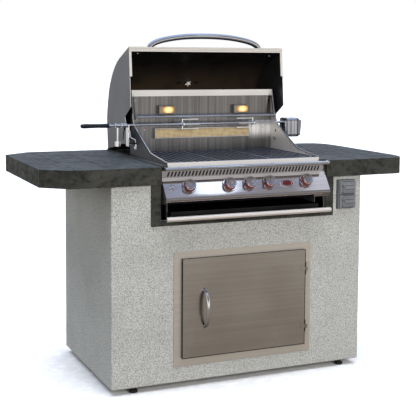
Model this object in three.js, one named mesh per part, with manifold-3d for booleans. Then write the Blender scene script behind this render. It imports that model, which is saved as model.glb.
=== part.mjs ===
// An outdoor kitchen island: a stucco base with a tiled counter, a built-in gas grill with its hood open,
// a rotisserie, an access door and a weatherproof outlet. Sizes are in millimetres.
// X runs along the front from the base's left edge, Y into the depth from the base's front face, Z up.
import * as THREE from 'three';
import { mergeVertices } from 'three/addons/utils/BufferGeometryUtils.js';
import ManifoldModule from 'manifold-3d';

const wasm = await ManifoldModule();
wasm.setup();

// Fits shared by every piece
const fit = { gap: 0.3, running: 1.2, overrun: 25, weld: 0.003 };

// Stucco base, its steel frame and its levelling feet
const base = { width: 1142, depth: 669, bottom: 25, wall: 14 };
const frame = { tube: 30, header: 640 };
const foot = { radius: 18.5, pad: 12, nut: 9, stem: 5, left: 102, right: 80, inset: 29 };
const floor = { thick: 6 };

/** A place along the island, as a share of the base's width. */
function across(share) {
  return base.width * share;
}

// Tiled counter with its hanging edge tiles and clipped corners
const counter = { top: 914, edge: 71, deck: 30, apron: 17.4, front: 18, left: 268, right: 232, rear: 87 };
const clip = {
  frontLeftX: 99, frontLeftY: 88, rearLeftX: 117, rearLeftY: 85,
  frontRightX: 74, frontRightY: 138, rearRightX: 104, rearRightY: 158, steps: 6,
};

// Grill opening in the counter and in the front wall
const opening = { left: across(0.180385), right: across(0.839755), bottom: 697, side: 5 };
const surround = { border: 40, bottomBorder: 22, thick: 9 };

// Firebox with its rear wall
const firebox = {
  left: across(0.205779), right: across(0.814361), bottom: 770, rimTop: 928, depth: 450, wall: 2.5, top: 1203,
  strip: 28, stripDepth: 8, ledge: 10, rearLedge: 26, ledgeThick: 4, drainInset: 70, edgeFlange: 12,
};
const fireboxEdgeShares = [[0, 0.346], [0.333, 0.402], [0.422, 0.416], [0.733, 0.57], [0.889, 0.658],
  [0.911, 0.704], [0.985, 1]];
const flange = { left: across(0.17951), right: across(0.841506), front: -10, rear: 710, thick: 4 };

// Bullnose ledge and slanted control panel
const ledge = { reach: 50, thick: 15, steps: 6 };
const panel = {
  left: across(0.183888), right: across(0.836252), top: 868, lipY: -60, lipZ: 785, curlY: -42, curlZ: 766,
  sheet: 2, ventTop: 897, stemHole: 7, igniterHole: 9.6, lipRound: 12, lipSteps: 4,
};
const vent = { count: 46, width: 5, height: 18, slant: 6, margin: 22, lift: 5 };
const badge = { x: across(0.663748), width: 60, height: 30, thick: 3, steps: 24 };
const badgeAlongShare = 0.5;

// Knobs and igniter on the panel
const knob = {
  xs: [across(0.277583), across(0.43345), across(0.513135), across(0.591944), across(0.745184)],
  radius: 23, skirt: 25, skirtHeight: 8, length: 27, lift: 2, stem: 4, grip: 3,
};
const knobAlongShare = 0.554;
const bezel = { radius: 29, inner: 26.2, thick: 5 };
const igniter = {
  x: across(0.213222), radius: 7, collar: 12, collarThick: 4, length: 9, dome: 2, travel: 4, shaft: 3,
  depth: 18,
};
const valve = { radius: 8, start: 5, length: 16, boreDepth: 10 };
const manifold = { y: -12, z: 800, radius: 8.5, block: 17 };

// Drip tray under the firebox, with its runners and full-width bar handle
const tray = {
  left: across(0.214536), right: across(0.805604), bottom: 702, height: 30, rear: 400, wall: 2, front: -20,
};
const trayBar = { height: 20, nose: 70, back: 58, bottom: 699, steps: 8 };
const runner = { width: 18, thick: 3, rear: 430, front: 20 };

// Burners, shields and grates inside the firebox
const burner = {
  xs: [across(0.281961), across(0.435201), across(0.588441), across(0.741681)],
  radius: 12.5, z: 858, bore: 8, boreDepth: 30, tail: 5, tailLength: 12,
};
const shield = { peaks: 12, height: 14, thick: 2, bottom: 889 };
const grate = {
  count: 3, top: 930, thick: 7, bars: 9, barWidth: 14, slope: 4, railDrop: 2, rear: 432, rail: 6,
};
const rearBurner = {
  left: across(0.299475), right: across(0.705779), bottom: 988, top: 1034, depth: 22, border: 5, recess: 4,
};
const lamp = {
  xs: [across(0.351138), across(0.670753)], z: 1115, width: 78, height: 38, depth: 20, recess: 4, border: 5,
};
const rack = { y: 380, z: 1087, radius: 4, rear: 434, wires: 10, wire: 1.8, inset: 9 };

// Hood, shown open at rest, with its pivot
const hood = {
  left: across(0.183888), right: across(0.836252), front: 395, depth: 310, bottom: 925, height: 467,
  sheet: 2, lip: 20, edgeFlange: 11, liner: 1.5, linerGap: 9, skinSteps: 16,
};
const hoodTravelDegrees = 95;
const hoodSkinShares = [[0, 1], [0.3, 0.923], [0.526, 0.857], [0.71, 0.76], [0.855, 0.64], [0.926, 0.531],
  [0.984, 0.381], [1, 0.246], [0.952, 0]];
const hoodFlangeShare = 0.448;
const hoodNotchShares = [[-0.074, 0.445], [0.177, 0.343], [0.048, 0.161]];
const pivot = { y: 404, z: 980, ear: 13, bolt: 5, head: 9, headThick: 4, steps: 8 };
const neck = { reach: 74, drop: 14 };
const hoodHandle = {
  centre: across(0.503503), span: 545, radius: 12.5, y: 410, endZ: 1380, bend: 60, shoulderZ: 1418,
  apexZ: 1442, steps: 24,
};
const gauge = { radius: 36, thick: 14, rim: 4, stem: 5, nut: 12, nutThick: 8, x: across(0.512259) };
const gaugeShare = 0.47;

// Rotisserie
const spit = {
  y: 390, z: 1053, radius: 5, left: across(0.105079), right: across(0.862522), gripLeft: across(-0.007005),
  gripRight: across(0.118214), gripRadius: 10, slot: 8.5, slotSteps: 12,
};
const weight = {
  x: across(0.137478), rod: 4, drop: 79, radius: 12.5, height: 22, collar: 10, collarWidth: 18,
};
const fork = {
  xs: [across(0.398424), across(0.705779)], hub: 9, hubWidth: 20, tineRadius: 2,
  tineRing: 21, tineLength: 80, plate: 4,
};
const bracket = { plate: 4, offset: 7, front: 368, rear: 402, bottom: 962, arm: 9, armWidth: 14, rise: 4 };
const hook = { front: 360, rear: 390, bottom: 945, plate: 3 };
const motor = {
  length: 76, front: 352, rear: 432, bottom: 985, top: 1072, corner: 14, steps: 4, cap: 12, capInset: 5,
};

// Access door in its frame
const door = {
  left: across(0.260946), right: across(0.755692), bottom: 125, top: 536, thick: 12, sheet: 2, proud: 2,
};
const doorFrame = {
  borderLeft: 34, borderRight: 32, borderBottom: 34, borderTop: 29, lap: 8, thick: 3.5, sleeve: 34, wall: 2.5,
};
const hinge = {
  zs: [205, 454], height: 49, radius: 5, pin: 2.5, leaf: 22, leafThick: 2, web: 3, aside: 5, ahead: 4,
};
const doorHandle = {
  x: across(0.345009), bottom: 250, top: 405, reach: 40, radius: 7, steps: 20,
  shoulderShare: 0.72, riseShare: 0.72,
};

// Weatherproof outlet
const outlet = {
  width: 86, asideShare: 0.368421, bottom: 702, top: 825, plate: 5.7, window: 34, windowHeight: 30,
};
const outletBox = { inset: 14, depth: 60, wall: 2, strap: 15, device: 26, faceDepth: 1.5 };
const lid = {
  thick: 15, edge: 3, wall: 3, rod: 1.8, barrel: 4, aside: 5.5, ahead: 5, ear: 2.5, pad: 5, padInset: 13,
};

// Finishes
const finish = {
  stucco: { color: '#b4b5b0', roughness: 0.95, metalness: 0 },
  tile: { color: '#3f4346', roughness: 0.7, metalness: 0 },
  darkTile: { color: '#34352f', roughness: 0.75, metalness: 0 },
  steel: { color: '#b9b7b3', roughness: 0.32, metalness: 0.9 },
  warmSteel: { color: '#8c857a', roughness: 0.4, metalness: 0.85 },
  frameSteel: { color: '#a59b8d', roughness: 0.4, metalness: 0.85 },
  greySteel: { color: '#70757d', roughness: 0.45, metalness: 0.6 },
  darkEnamel: { color: '#191613', roughness: 0.6, metalness: 0.2 },
  chrome: { color: '#dfe1e4', roughness: 0.12, metalness: 1 },
  zinc: { color: '#8f9396', roughness: 0.55, metalness: 0.7 },
  black: { color: '#17181a', roughness: 0.6, metalness: 0 },
  red: { color: '#8c1712', roughness: 0.35, metalness: 0.2 },
  greyPlastic: { color: '#75797e', roughness: 0.5, metalness: 0 },
  ceramic: { color: '#cdb483', roughness: 0.9, metalness: 0 },
  glass: { color: '#f3dca8', roughness: 0.1, metalness: 0 },
};

// The axes of the island
const axisX = new THREE.Vector3(1, 0, 0);
const axisY = new THREE.Vector3(0, 1, 0);
const axisZ = new THREE.Vector3(0, 0, 1);

/** Turns a closed three.js geometry into a solid that can be joined and cut. */
function solidOf(geometry) {
  const bare = geometry.clone();
  bare.deleteAttribute('normal');
  bare.deleteAttribute('uv');
  const merged = mergeVertices(bare, fit.weld);
  const index = merged.index.array;
  const corners = [];
  let volume = 0;
  const a = new THREE.Vector3();
  const b = new THREE.Vector3();
  const c = new THREE.Vector3();
  for (let i = 0; i < index.length; i += 3) {
    const [p, q, r] = [index[i], index[i + 1], index[i + 2]];
    if (p === q || q === r || r === p) continue;
    a.fromBufferAttribute(merged.attributes.position, p);
    b.fromBufferAttribute(merged.attributes.position, q);
    c.fromBufferAttribute(merged.attributes.position, r);
    volume += a.dot(b.cross(c));
    corners.push(p, q, r);
  }
  if (volume < 0) corners.reverse();
  return new wasm.Manifold(new wasm.Mesh({
    numProp: 3,
    vertProperties: new Float32Array(merged.attributes.position.array),
    triVerts: new Uint32Array(corners),
  }));
}

/** Gives a solid back as a geometry with flat faces. */
function geometryOf(solid) {
  const mesh = solid.getMesh();
  const geometry = new THREE.BufferGeometry();
  geometry.setAttribute('position', new THREE.BufferAttribute(mesh.vertProperties, mesh.numProp));
  geometry.setIndex(new THREE.BufferAttribute(mesh.triVerts, 1));
  const flat = geometry.toNonIndexed();
  flat.computeVertexNormals();
  return flat;
}

/** Joins solids into one. */
function join(first, ...others) {
  return others.reduce((solid, other) => solid.add(other), first);
}

/** Cuts tools out of a solid. */
function cut(solid, ...tools) {
  return tools.reduce((left, tool) => left.subtract(tool), solid);
}

/** A box between two corners. */
function box(x0, x1, y0, y1, z0, z1) {
  const geometry = new THREE.BoxGeometry(x1 - x0, y1 - y0, z1 - z0);
  geometry.translate((x0 + x1) / 2, (y0 + y1) / 2, (z0 + z1) / 2);
  return solidOf(geometry);
}

/** A straight prism of an outline, set into the frame that three axes give. */
function prism(points, depth, right, up, out, start) {
  const shape = new THREE.Shape(points.map(([h, v]) => new THREE.Vector2(h, v)));
  const geometry = new THREE.ExtrudeGeometry(shape, { depth, bevelEnabled: false });
  geometry.applyMatrix4(new THREE.Matrix4().makeBasis(right, up, out).setPosition(start));
  return solidOf(geometry);
}

/** A prism along X of an outline of [y, z] points. */
function prismX(points, x0, x1) {
  return prism(points, x1 - x0, axisY, axisZ, axisX, new THREE.Vector3(x0, 0, 0));
}

/** A prism along Y of an outline of [x, z] points. */
function prismY(points, y0, y1) {
  return prism(points, y1 - y0, axisX, axisZ, axisY.clone().negate(), new THREE.Vector3(0, y1, 0));
}

/** A prism along Z of an outline of [x, y] points. */
function prismZ(points, z0, z1) {
  return prism(points, z1 - z0, axisX, axisY, axisZ, new THREE.Vector3(0, 0, z0));
}

/** A round bar between two points. */
function bar(radius, from, to, segments = 20) {
  const start = new THREE.Vector3(...from);
  const reach = new THREE.Vector3(...to).sub(start);
  const geometry = new THREE.CylinderGeometry(radius, radius, reach.length(), segments);
  geometry.translate(0, reach.length() / 2, 0);
  geometry.applyQuaternion(new THREE.Quaternion().setFromUnitVectors(axisY, reach.clone().normalize()));
  geometry.translate(...start.toArray());
  return solidOf(geometry);
}

/** A bent tube of constant radius along a smooth curve through points. */
function tube(points, radius, steps, sides = 12) {
  const path = new THREE.CatmullRomCurve3(points.map((point) => new THREE.Vector3(...point)));
  const section = new THREE.Shape();
  section.absarc(0, 0, radius, 0, Math.PI * 2);
  const options = { steps, curveSegments: sides / 2, extrudePath: path, bevelEnabled: false };
  return solidOf(new THREE.ExtrudeGeometry(section, options));
}

/** A solid turned about the Z axis of a place, from a profile of [radius, height] points. */
function turned(profile, place, segments = 24) {
  const points = profile.map(([radius, height]) => new THREE.Vector2(radius, height));
  const geometry = new THREE.LatheGeometry(points, segments);
  geometry.rotateX(Math.PI / 2);
  return solidOf(geometry.applyMatrix4(place));
}

/** The corners of a rectangle. */
function rectangle(h0, h1, v0, v1) {
  return [[h0, v0], [h1, v0], [h1, v1], [h0, v1]];
}

/** A line moved sideways by a distance, to its left as it runs, with mitred corners. */
function offset(points, distance, closed) {
  const count = points.length;
  const normalOf = (from, to) => new THREE.Vector2(from[1] - to[1], to[0] - from[0]).normalize();
  return points.map((point, i) => {
    const before = closed || i > 0 ? normalOf(points[(i + count - 1) % count], point) : null;
    const after = closed || i < count - 1 ? normalOf(point, points[(i + 1) % count]) : null;
    const normal = (before ?? after).clone().add(after ?? before).normalize();
    const reach = distance / normal.dot(before ?? after);
    return [point[0] + normal.x * reach, point[1] + normal.y * reach];
  });
}

/** The outline of a bent sheet whose one face follows a line. */
function band(points, thickness) {
  return [...points, ...offset(points, thickness, false).reverse()];
}

/** Points on a round arc, with angles in radians. */
function arc(centreH, centreV, radius, from, to, steps) {
  return Array.from({ length: steps + 1 }, (unused, i) => {
    const angle = from + (to - from) * i / steps;
    return [centreH + radius * Math.cos(angle), centreV + radius * Math.sin(angle)];
  });
}

/** Points of a rounded corner that leaves the straight sides at two points. */
function roundedCorner(from, corner, to, steps) {
  const curve = new THREE.QuadraticBezierCurve(...[from, corner, to].map((p) => new THREE.Vector2(...p)));
  return curve.getPoints(steps).map((point) => point.toArray());
}

const island = new THREE.Group();

/** Adds one named piece to the island. */
function add(name, material, solid) {
  const mesh = new THREE.Mesh(geometryOf(solid), new THREE.MeshStandardMaterial(material));
  mesh.name = name;
  island.add(mesh);
}

// Heights and edges that several pieces share
const surroundRight = opening.right + surround.border;
const outletLeft = surroundRight + (base.width - surroundRight - outlet.width) * outlet.asideShare;
const outletRight = outletLeft + outlet.width;
const deckBottom = counter.top - counter.deck;
const edgeBottom = counter.top - counter.edge;
const counterLeft = -counter.left;
const counterRight = base.width + counter.right;
const counterRear = base.depth + counter.rear;
const frameFront = -fit.gap - doorFrame.thick;
const doorBack = frameFront - door.proud;
const doorFront = doorBack - door.thick;
const sleeve = {
  left: door.left + doorFrame.lap,
  right: door.right - doorFrame.lap,
  bottom: door.bottom + doorFrame.lap,
  top: door.top - doorFrame.lap,
};

/** The stucco walls with their openings for the door, the grill and the outlet. */
function addBase() {
  const { gap, overrun } = fit;
  const top = deckBottom - gap;
  const wall = doorFrame.wall + gap;
  add('stucco_shell', finish.stucco, cut(
    box(0, base.width, 0, base.depth, base.bottom, top),
    box(base.wall, base.width - base.wall, base.wall, base.depth - base.wall, base.bottom - overrun,
      top + overrun),
    box(sleeve.left - wall, sleeve.right + wall, -overrun, base.wall + overrun, sleeve.bottom - wall,
      sleeve.top + wall),
    box(opening.left, opening.right, -overrun, base.wall + overrun, opening.bottom, top + overrun),
    box(outletLeft + outletBox.inset - gap, outletRight - outletBox.inset + gap, -overrun,
      base.wall + overrun, outlet.bottom + outletBox.inset - gap, outlet.top - outletBox.inset + gap),
  ));
}

/** The welded steel frame inside the walls, with bores for the stems of the feet. */
function addFrame() {
  const { gap, overrun } = fit;
  const x0 = base.wall + gap;
  const x1 = base.width - base.wall - gap;
  const y0 = base.wall + gap;
  const y1 = base.depth - base.wall - gap;
  const z0 = base.bottom;
  const z1 = deckBottom - gap;
  const t = frame.tube;
  const tubes = [];
  for (const [low, high] of [[z0, z0 + t], [z1 - t, z1]]) {
    tubes.push(box(x0, x0 + t, y0, y1, low, high));
    tubes.push(box(x1 - t, x1, y0, y1, low, high));
    tubes.push(box(x0, x1, y1 - t, y1, low, high));
  }
  for (const [left, right] of [[x0, x0 + t], [x1 - t, x1]]) {
    tubes.push(box(left, right, y0, y0 + t, z0, z1));
    tubes.push(box(left, right, y1 - t, y1, z0, z1));
  }
  tubes.push(box(x0, x1, y0, y0 + t, z0, z0 + t));
  tubes.push(box(x0, x1, y0, y0 + t, frame.header - t, frame.header));
  const bores = footPlaces().map(([x, y]) => bar(foot.stem + gap, [x, y, z0 - overrun],
    [x, y, z0 + t + overrun], 12));
  add('base_frame', finish.zinc, cut(join(...tubes), ...bores));
  add('cabinet_floor', finish.zinc, box(x0 + t + gap, x1 - t - gap, y0 + gap, y1 - gap,
    z0 + t + gap, z0 + t + gap + floor.thick));
}

/** The places of the four feet. */
function footPlaces() {
  const xs = [foot.left, base.width - foot.right];
  const ys = [foot.inset, base.depth - foot.inset];
  return xs.flatMap((x) => ys.map((y) => [x, y]));
}

/** Four levelling feet: a pad, a jam nut under the frame and a threaded stem. */
function addFeet() {
  const names = ['foot_front_left', 'foot_rear_left', 'foot_front_right', 'foot_rear_right'];
  footPlaces().forEach(([x, y], i) => {
    const nutTop = base.bottom - fit.gap;
    const top = base.bottom + frame.tube - fit.gap;
    const profile = [[0, 0], [foot.radius, 0], [foot.radius, foot.pad], [foot.nut, foot.pad],
      [foot.nut, nutTop], [foot.stem, nutTop], [foot.stem, top], [0, top]];
    add(names[i], finish.black, turned(profile, new THREE.Matrix4().makeTranslation(x, y, 0), 12));
  });
}

/** The counter's outline, with clipped corners at the left end and rounded ones at the right end. */
function counterOutline() {
  const front = -counter.front;
  return [
    [counterLeft, front + clip.frontLeftY],
    [counterLeft + clip.frontLeftX, front],
    ...roundedCorner([counterRight - clip.frontRightX, front], [counterRight, front],
      [counterRight, front + clip.frontRightY], clip.steps),
    ...roundedCorner([counterRight, counterRear - clip.rearRightY], [counterRight, counterRear],
      [counterRight - clip.rearRightX, counterRear], clip.steps),
    [counterLeft + clip.rearLeftX, counterRear],
    [counterLeft, counterRear - clip.rearLeftY],
  ];
}

/** The tiled counter: a deck, edge tiles that hang around it, and the cut-out for the grill. */
function addCounter() {
  const { overrun } = fit;
  const outline = counterOutline();
  const low = edgeBottom - overrun;
  const high = counter.top + overrun;
  add('countertop', finish.tile, cut(
    prismZ(outline, edgeBottom, counter.top),
    prismZ(offset(outline, counter.apron, true), low, deckBottom),
    box(opening.left, opening.right, -counter.front - overrun, 0, low, high),
    box(firebox.left - opening.side, firebox.right + opening.side, -overrun, firebox.depth + opening.side,
      low, high),
  ));
  const inner = rectangle(opening.left, opening.right, opening.bottom, high);
  const outer = rectangle(opening.left - surround.border, surroundRight,
    opening.bottom - surround.bottomBorder, edgeBottom - fit.gap);
  add('grill_surround', finish.darkTile, cut(
    prismY(outer, -fit.gap - surround.thick, -fit.gap),
    prismY(inner, -overrun - surround.thick, overrun),
  ));
}

// The hinge of the hood, the spit and the grates, as the firebox needs them
const grateBottom = grate.top - grate.thick;
const spitReach = Math.hypot(spit.y - pivot.y, spit.z - pivot.z);
const spitAngle = Math.atan2(spit.z - pivot.z, spit.y - pivot.y);
const hoodTravel = THREE.MathUtils.degToRad(hoodTravelDegrees);
const grillCentre = (hood.left + hood.right) / 2;

/** A point of an outline given as shares of a depth and a height. */
function sharePoint([depthShare, heightShare], front, depth, bottom, height) {
  return [front + depthShare * depth, bottom + heightShare * height];
}

/** The sloped upper edge of the firebox's sides. */
function fireboxEdge() {
  const height = firebox.top - firebox.bottom;
  return fireboxEdgeShares.map((pair) => sharePoint(pair, 0, firebox.depth, firebox.bottom, height));
}

/** The firebox: five walls with ledges for the shield and the grates, holes and notches. */
function addFirebox() {
  const { gap, overrun } = fit;
  const { left, right, depth, wall, bottom, top } = firebox;
  const inner = { left: left + wall, right: right - wall, front: wall, rear: depth - wall };
  const edge = fireboxEdge();
  const steep = edge.slice(-2);
  const ledges = [grateBottom, shield.bottom].flatMap((seat) => [
    box(left, right, 0, inner.front + firebox.ledge, seat - gap - firebox.ledgeThick, seat - gap),
    box(left, right, inner.rear - firebox.rearLedge, depth, seat - gap - firebox.ledgeThick, seat - gap),
  ]);
  const shell = cut(
    prismX([[0, bottom], ...edge, [depth, top], [depth, bottom]], left, right),
    box(inner.left, inner.right, inner.front, inner.rear, bottom + wall, top + overrun),
  );
  const walls = join(
    shell,
    box(left, right, 0, wall, bottom, firebox.rimTop),
    box(left, right, depth - firebox.stripDepth, depth, top - firebox.strip, top),
    prismX(band(steep, -wall), left, left + firebox.edgeFlange),
    prismX(band(steep, -wall), right - firebox.edgeFlange, right),
    ...ledges,
  );
  const inset = firebox.drainInset;
  const holes = [box(left + inset, right - inset, inset, depth - inset, bottom - overrun,
    bottom + wall + gap)];
  for (const x of burner.xs) {
    holes.push(bar(burner.radius + gap, [x, -overrun, burner.z], [x, wall + firebox.ledge, burner.z]));
    holes.push(bar(burner.tail + gap, [x, depth - overrun, burner.z], [x, depth + overrun, burner.z], 12));
  }
  for (const [from, to] of [[left - overrun, left + overrun], [right - overrun, right + overrun]]) {
    holes.push(bar(spit.slot, [from, spit.y, spit.z], [to, spit.y, spit.z], 12));
    holes.push(bar(pivot.bolt + gap, [from, pivot.y, pivot.z], [to, pivot.y, pivot.z], 12));
  }
  add('firebox', finish.steel, cut(walls, ...holes));
  add('mounting_flange', finish.greySteel, cut(
    box(flange.left, flange.right, flange.front, flange.rear, counter.top + gap,
      counter.top + gap + flange.thick),
    box(left - gap, right + gap, flange.front - overrun, depth + gap, counter.top - overrun,
      counter.top + overrun),
  ));
}

// The slanted panel's own frame: along X, up its slope, and outwards from its face
const panelTop = [-fit.gap - panel.sheet, panel.top];
const panelLip = [panel.lipY, panel.lipZ];
const panelUp = new THREE.Vector3(0, panelTop[0] - panelLip[0], panelTop[1] - panelLip[1]);
const panelLength = panelUp.length();
panelUp.normalize();
const panelOut = new THREE.Vector3().crossVectors(axisX, panelUp);

/** The place of something on the panel, at a share of the way up its slope. */
function panelPlace(x, alongShare) {
  const origin = new THREE.Vector3(x, ...panelLip).addScaledVector(panelUp, alongShare * panelLength);
  return new THREE.Matrix4().makeBasis(axisX, panelUp, panelOut).setPosition(origin);
}

/** A point some way from one point towards another. */
function toward(from, to, reach) {
  const line = new THREE.Vector2(to[0] - from[0], to[1] - from[1]).setLength(reach);
  return [from[0] + line.x, from[1] + line.y];
}

/** The outer line of the panel from the top of its vent strip to the end of its curled lip. */
function panelLine() {
  const curl = [panel.curlY, panel.curlZ];
  return [
    [panelTop[0], panel.ventTop],
    panelTop,
    ...roundedCorner(toward(panelLip, panelTop, panel.lipRound), panelLip,
      toward(panelLip, curl, panel.lipRound), panel.lipSteps),
    curl,
  ];
}

/** The slots of the vent strip. */
function ventSlots() {
  const span = panel.right - panel.left - vent.margin * 2;
  const low = panel.top + vent.lift;
  return Array.from({ length: vent.count }, (unused, i) => {
    const x = panel.left + vent.margin + span * i / vent.count;
    const slot = [[x, low], [x + vent.width, low], [x + vent.width + vent.slant, low + vent.height],
      [x + vent.slant, low + vent.height]];
    return prismY(slot, panelTop[0] - panel.sheet, 0);
  });
}

/** The bullnose ledge and the control panel with its cheeks, slots, bezels and bores. */
function addPanel() {
  const { gap } = fit;
  const half = ledge.thick / 2;
  const nose = arc(-ledge.reach + half, counter.top - half, half, -Math.PI / 2, -Math.PI * 3 / 2,
    ledge.steps);
  add('front_ledge', finish.steel,
    prismX([[-gap, counter.top - ledge.thick], ...nose, [-gap, counter.top]], panel.left, panel.right));
  const line = panelLine();
  const cheek = [...line, [-gap, panel.curlZ], [-gap, panel.ventTop]];
  const seat = -panel.sheet / 2;
  const bezelProfile = [[bezel.inner, seat], [bezel.radius, seat], [bezel.radius, bezel.thick],
    [bezel.inner, bezel.thick], [bezel.inner, seat]];
  const boreProfile = (radius) => [[0, -panel.sheet * 2], [radius, -panel.sheet * 2],
    [radius, bezel.thick * 2], [0, bezel.thick * 2]];
  const sheets = join(
    prismX(band(line, panel.sheet), panel.left, panel.right),
    prismX(cheek, panel.left, panel.left + panel.sheet),
    prismX(cheek, panel.right - panel.sheet, panel.right),
    ...knob.xs.map((x) => turned(bezelProfile, panelPlace(x, knobAlongShare), 16)),
  );
  add('control_panel', finish.steel, cut(
    sheets,
    ...ventSlots(),
    ...knob.xs.map((x) => turned(boreProfile(panel.stemHole), panelPlace(x, knobAlongShare), 10)),
    turned(boreProfile(panel.igniterHole), panelPlace(igniter.x, knobAlongShare), 12),
  ));
  const oval = new THREE.EllipseCurve(0, 0, badge.width / 2, badge.height / 2).getPoints(badge.steps);
  const place = panelPlace(badge.x, badgeAlongShare).multiply(new THREE.Matrix4().makeTranslation(0, 0, gap));
  const plate = new THREE.ExtrudeGeometry(new THREE.Shape(oval), { depth: badge.thick, bevelEnabled: false });
  add('badge_plate', finish.red, solidOf(plate.applyMatrix4(place)));
}

/** The five knobs, each one solid with the stem that turns in its valve. */
function addKnobs() {
  const stemEnd = -panel.sheet - valve.start - valve.boreDepth + fit.gap * 2;
  const top = knob.lift + knob.length;
  const profile = [[0, stemEnd], [knob.stem, stemEnd], [knob.stem, knob.lift], [knob.skirt, knob.lift],
    [knob.skirt, knob.lift + knob.skirtHeight],
    [knob.radius, knob.lift + knob.skirtHeight + knob.skirt - knob.radius],
    [knob.radius, top - knob.grip], [knob.radius - knob.grip, top], [0, top]];
  knob.xs.forEach((x, i) => {
    add(`knob_${i + 1}`, finish.chrome, turned(profile, panelPlace(x, knobAlongShare), 16));
  });
}

/** The spark igniter: its body with the collar in front, and the button that travels in it. */
function addIgniter() {
  const { gap } = fit;
  const place = panelPlace(igniter.x, knobAlongShare);
  const inside = igniter.radius + gap;
  const back = -panel.sheet - gap;
  const seat = -igniter.travel - gap * 2;
  const sleeveRadius = panel.igniterHole - gap;
  const body = [[inside, igniter.collarThick], [igniter.collar, igniter.collarThick], [igniter.collar, gap],
    [sleeveRadius, gap], [sleeveRadius, back], [igniter.collar, back], [igniter.collar, -igniter.depth],
    [igniter.shaft + gap, -igniter.depth], [igniter.shaft + gap, seat], [inside, seat],
    [inside, igniter.collarThick]];
  add('igniter_body', finish.chrome, turned(body, place, 12));
  const shaftEnd = igniter.travel - igniter.depth + gap;
  const button = [[0, shaftEnd], [igniter.shaft, shaftEnd], [igniter.shaft, 0], [igniter.radius, 0],
    [igniter.radius, igniter.length - igniter.dome], [igniter.radius - igniter.dome, igniter.length],
    [0, igniter.length]];
  add('igniter_button', finish.black, turned(button, place, 12));
}

/** The gas pipe behind the panel with one valve for each knob. */
function addManifold() {
  const { gap } = fit;
  const start = -panel.sheet - valve.start;
  const end = start - valve.length;
  const body = [[0, end], [valve.radius, end], [valve.radius, start], [0, start]];
  const bore = [[0, start - valve.boreDepth], [knob.stem + gap, start - valve.boreDepth],
    [knob.stem + gap, start + fit.overrun], [0, start + fit.overrun]];
  const inset = panel.sheet + gap;
  const pipe = bar(manifold.radius, [panel.left + inset, manifold.y, manifold.z],
    [panel.right - inset, manifold.y, manifold.z], 12);
  const valves = knob.xs.map((x) => turned(body, panelPlace(x, knobAlongShare), 8));
  const blocks = knob.xs.map((x) => box(x - manifold.block / 2, x + manifold.block / 2,
    manifold.y - manifold.radius, manifold.y + manifold.radius, manifold.z, manifold.z + manifold.block));
  const bores = knob.xs.map((x) => turned(bore, panelPlace(x, knobAlongShare), 12));
  add('gas_manifold', finish.zinc, cut(join(pipe, ...valves, ...blocks), ...bores));
}

/** The drip tray, its full-width half-round handle and the two runners under the firebox. */
function addTray() {
  const { gap, overrun } = fit;
  const { left, right, bottom, wall } = tray;
  const shelfFront = -trayBar.back + gap;
  add('drip_tray', finish.steel, join(
    cut(
      box(left, right, tray.front, tray.rear, bottom, bottom + tray.height),
      box(left + wall, right - wall, tray.front + wall, tray.rear - wall, bottom + wall,
        bottom + tray.height + overrun),
    ),
    box(left, right, shelfFront, tray.front + wall, bottom, bottom + wall),
  ));
  const middle = trayBar.bottom + trayBar.height / 2;
  const nose = arc(0, 0, 1, -Math.PI / 2, -Math.PI * 3 / 2, trayBar.steps).map(([h, v]) => [
    -trayBar.back + h * (trayBar.nose - trayBar.back), middle + v * trayBar.height / 2,
  ]);
  add('tray_handle', finish.steel, prismX(nose, panel.left, panel.right));
  const seat = bottom - gap;
  const rail = (side, face) => {
    const [web0, web1] = [face - side * runner.thick, face].sort((a, b) => a - b);
    const [lip0, lip1] = [face - side * runner.thick, face + side * runner.width].sort((a, b) => a - b);
    return join(
      box(web0, web1, runner.front, runner.rear, seat - runner.thick, firebox.bottom - gap),
      box(lip0, lip1, runner.front, runner.rear, seat - runner.thick, seat),
    );
  };
  add('tray_runner_left', finish.zinc, rail(1, left - fit.running));
  add('tray_runner_right', finish.zinc, rail(-1, right + fit.running));
}

/** The burners with the crossover tube that joins them, and the heat shield over them. */
function addBurners() {
  const { gap } = fit;
  const rear = firebox.depth - firebox.wall - gap;
  const tubes = burner.xs.map((x) => cut(
    join(
      bar(burner.radius, [x, gap, burner.z], [x, rear - burner.tailLength, burner.z], 12),
      bar(burner.tail, [x, rear - burner.tailLength * 2, burner.z], [x, firebox.depth - gap, burner.z], 8),
    ),
    bar(burner.bore, [x, -burner.boreDepth, burner.z], [x, burner.boreDepth, burner.z], 12),
  ));
  const first = burner.xs[0];
  const last = burner.xs[burner.xs.length - 1];
  const middle = firebox.depth / 2;
  const crossover = bar(burner.tail, [first, middle, burner.z], [last, middle, burner.z], 12);
  add('burner_set', finish.steel, join(crossover, ...tubes));
  const left = firebox.left + firebox.wall + fit.running;
  const right = firebox.right - firebox.wall - fit.running;
  const folds = shield.peaks * 2;
  const line = Array.from({ length: folds + 1 }, (unused, i) => [
    left + (right - left) * i / folds, shield.bottom + (i % 2) * shield.height,
  ]);
  add('heat_shield', finish.greySteel, prismY(band(line, shield.thick), firebox.wall + fit.running,
    firebox.depth - firebox.wall - fit.running));
}

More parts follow.
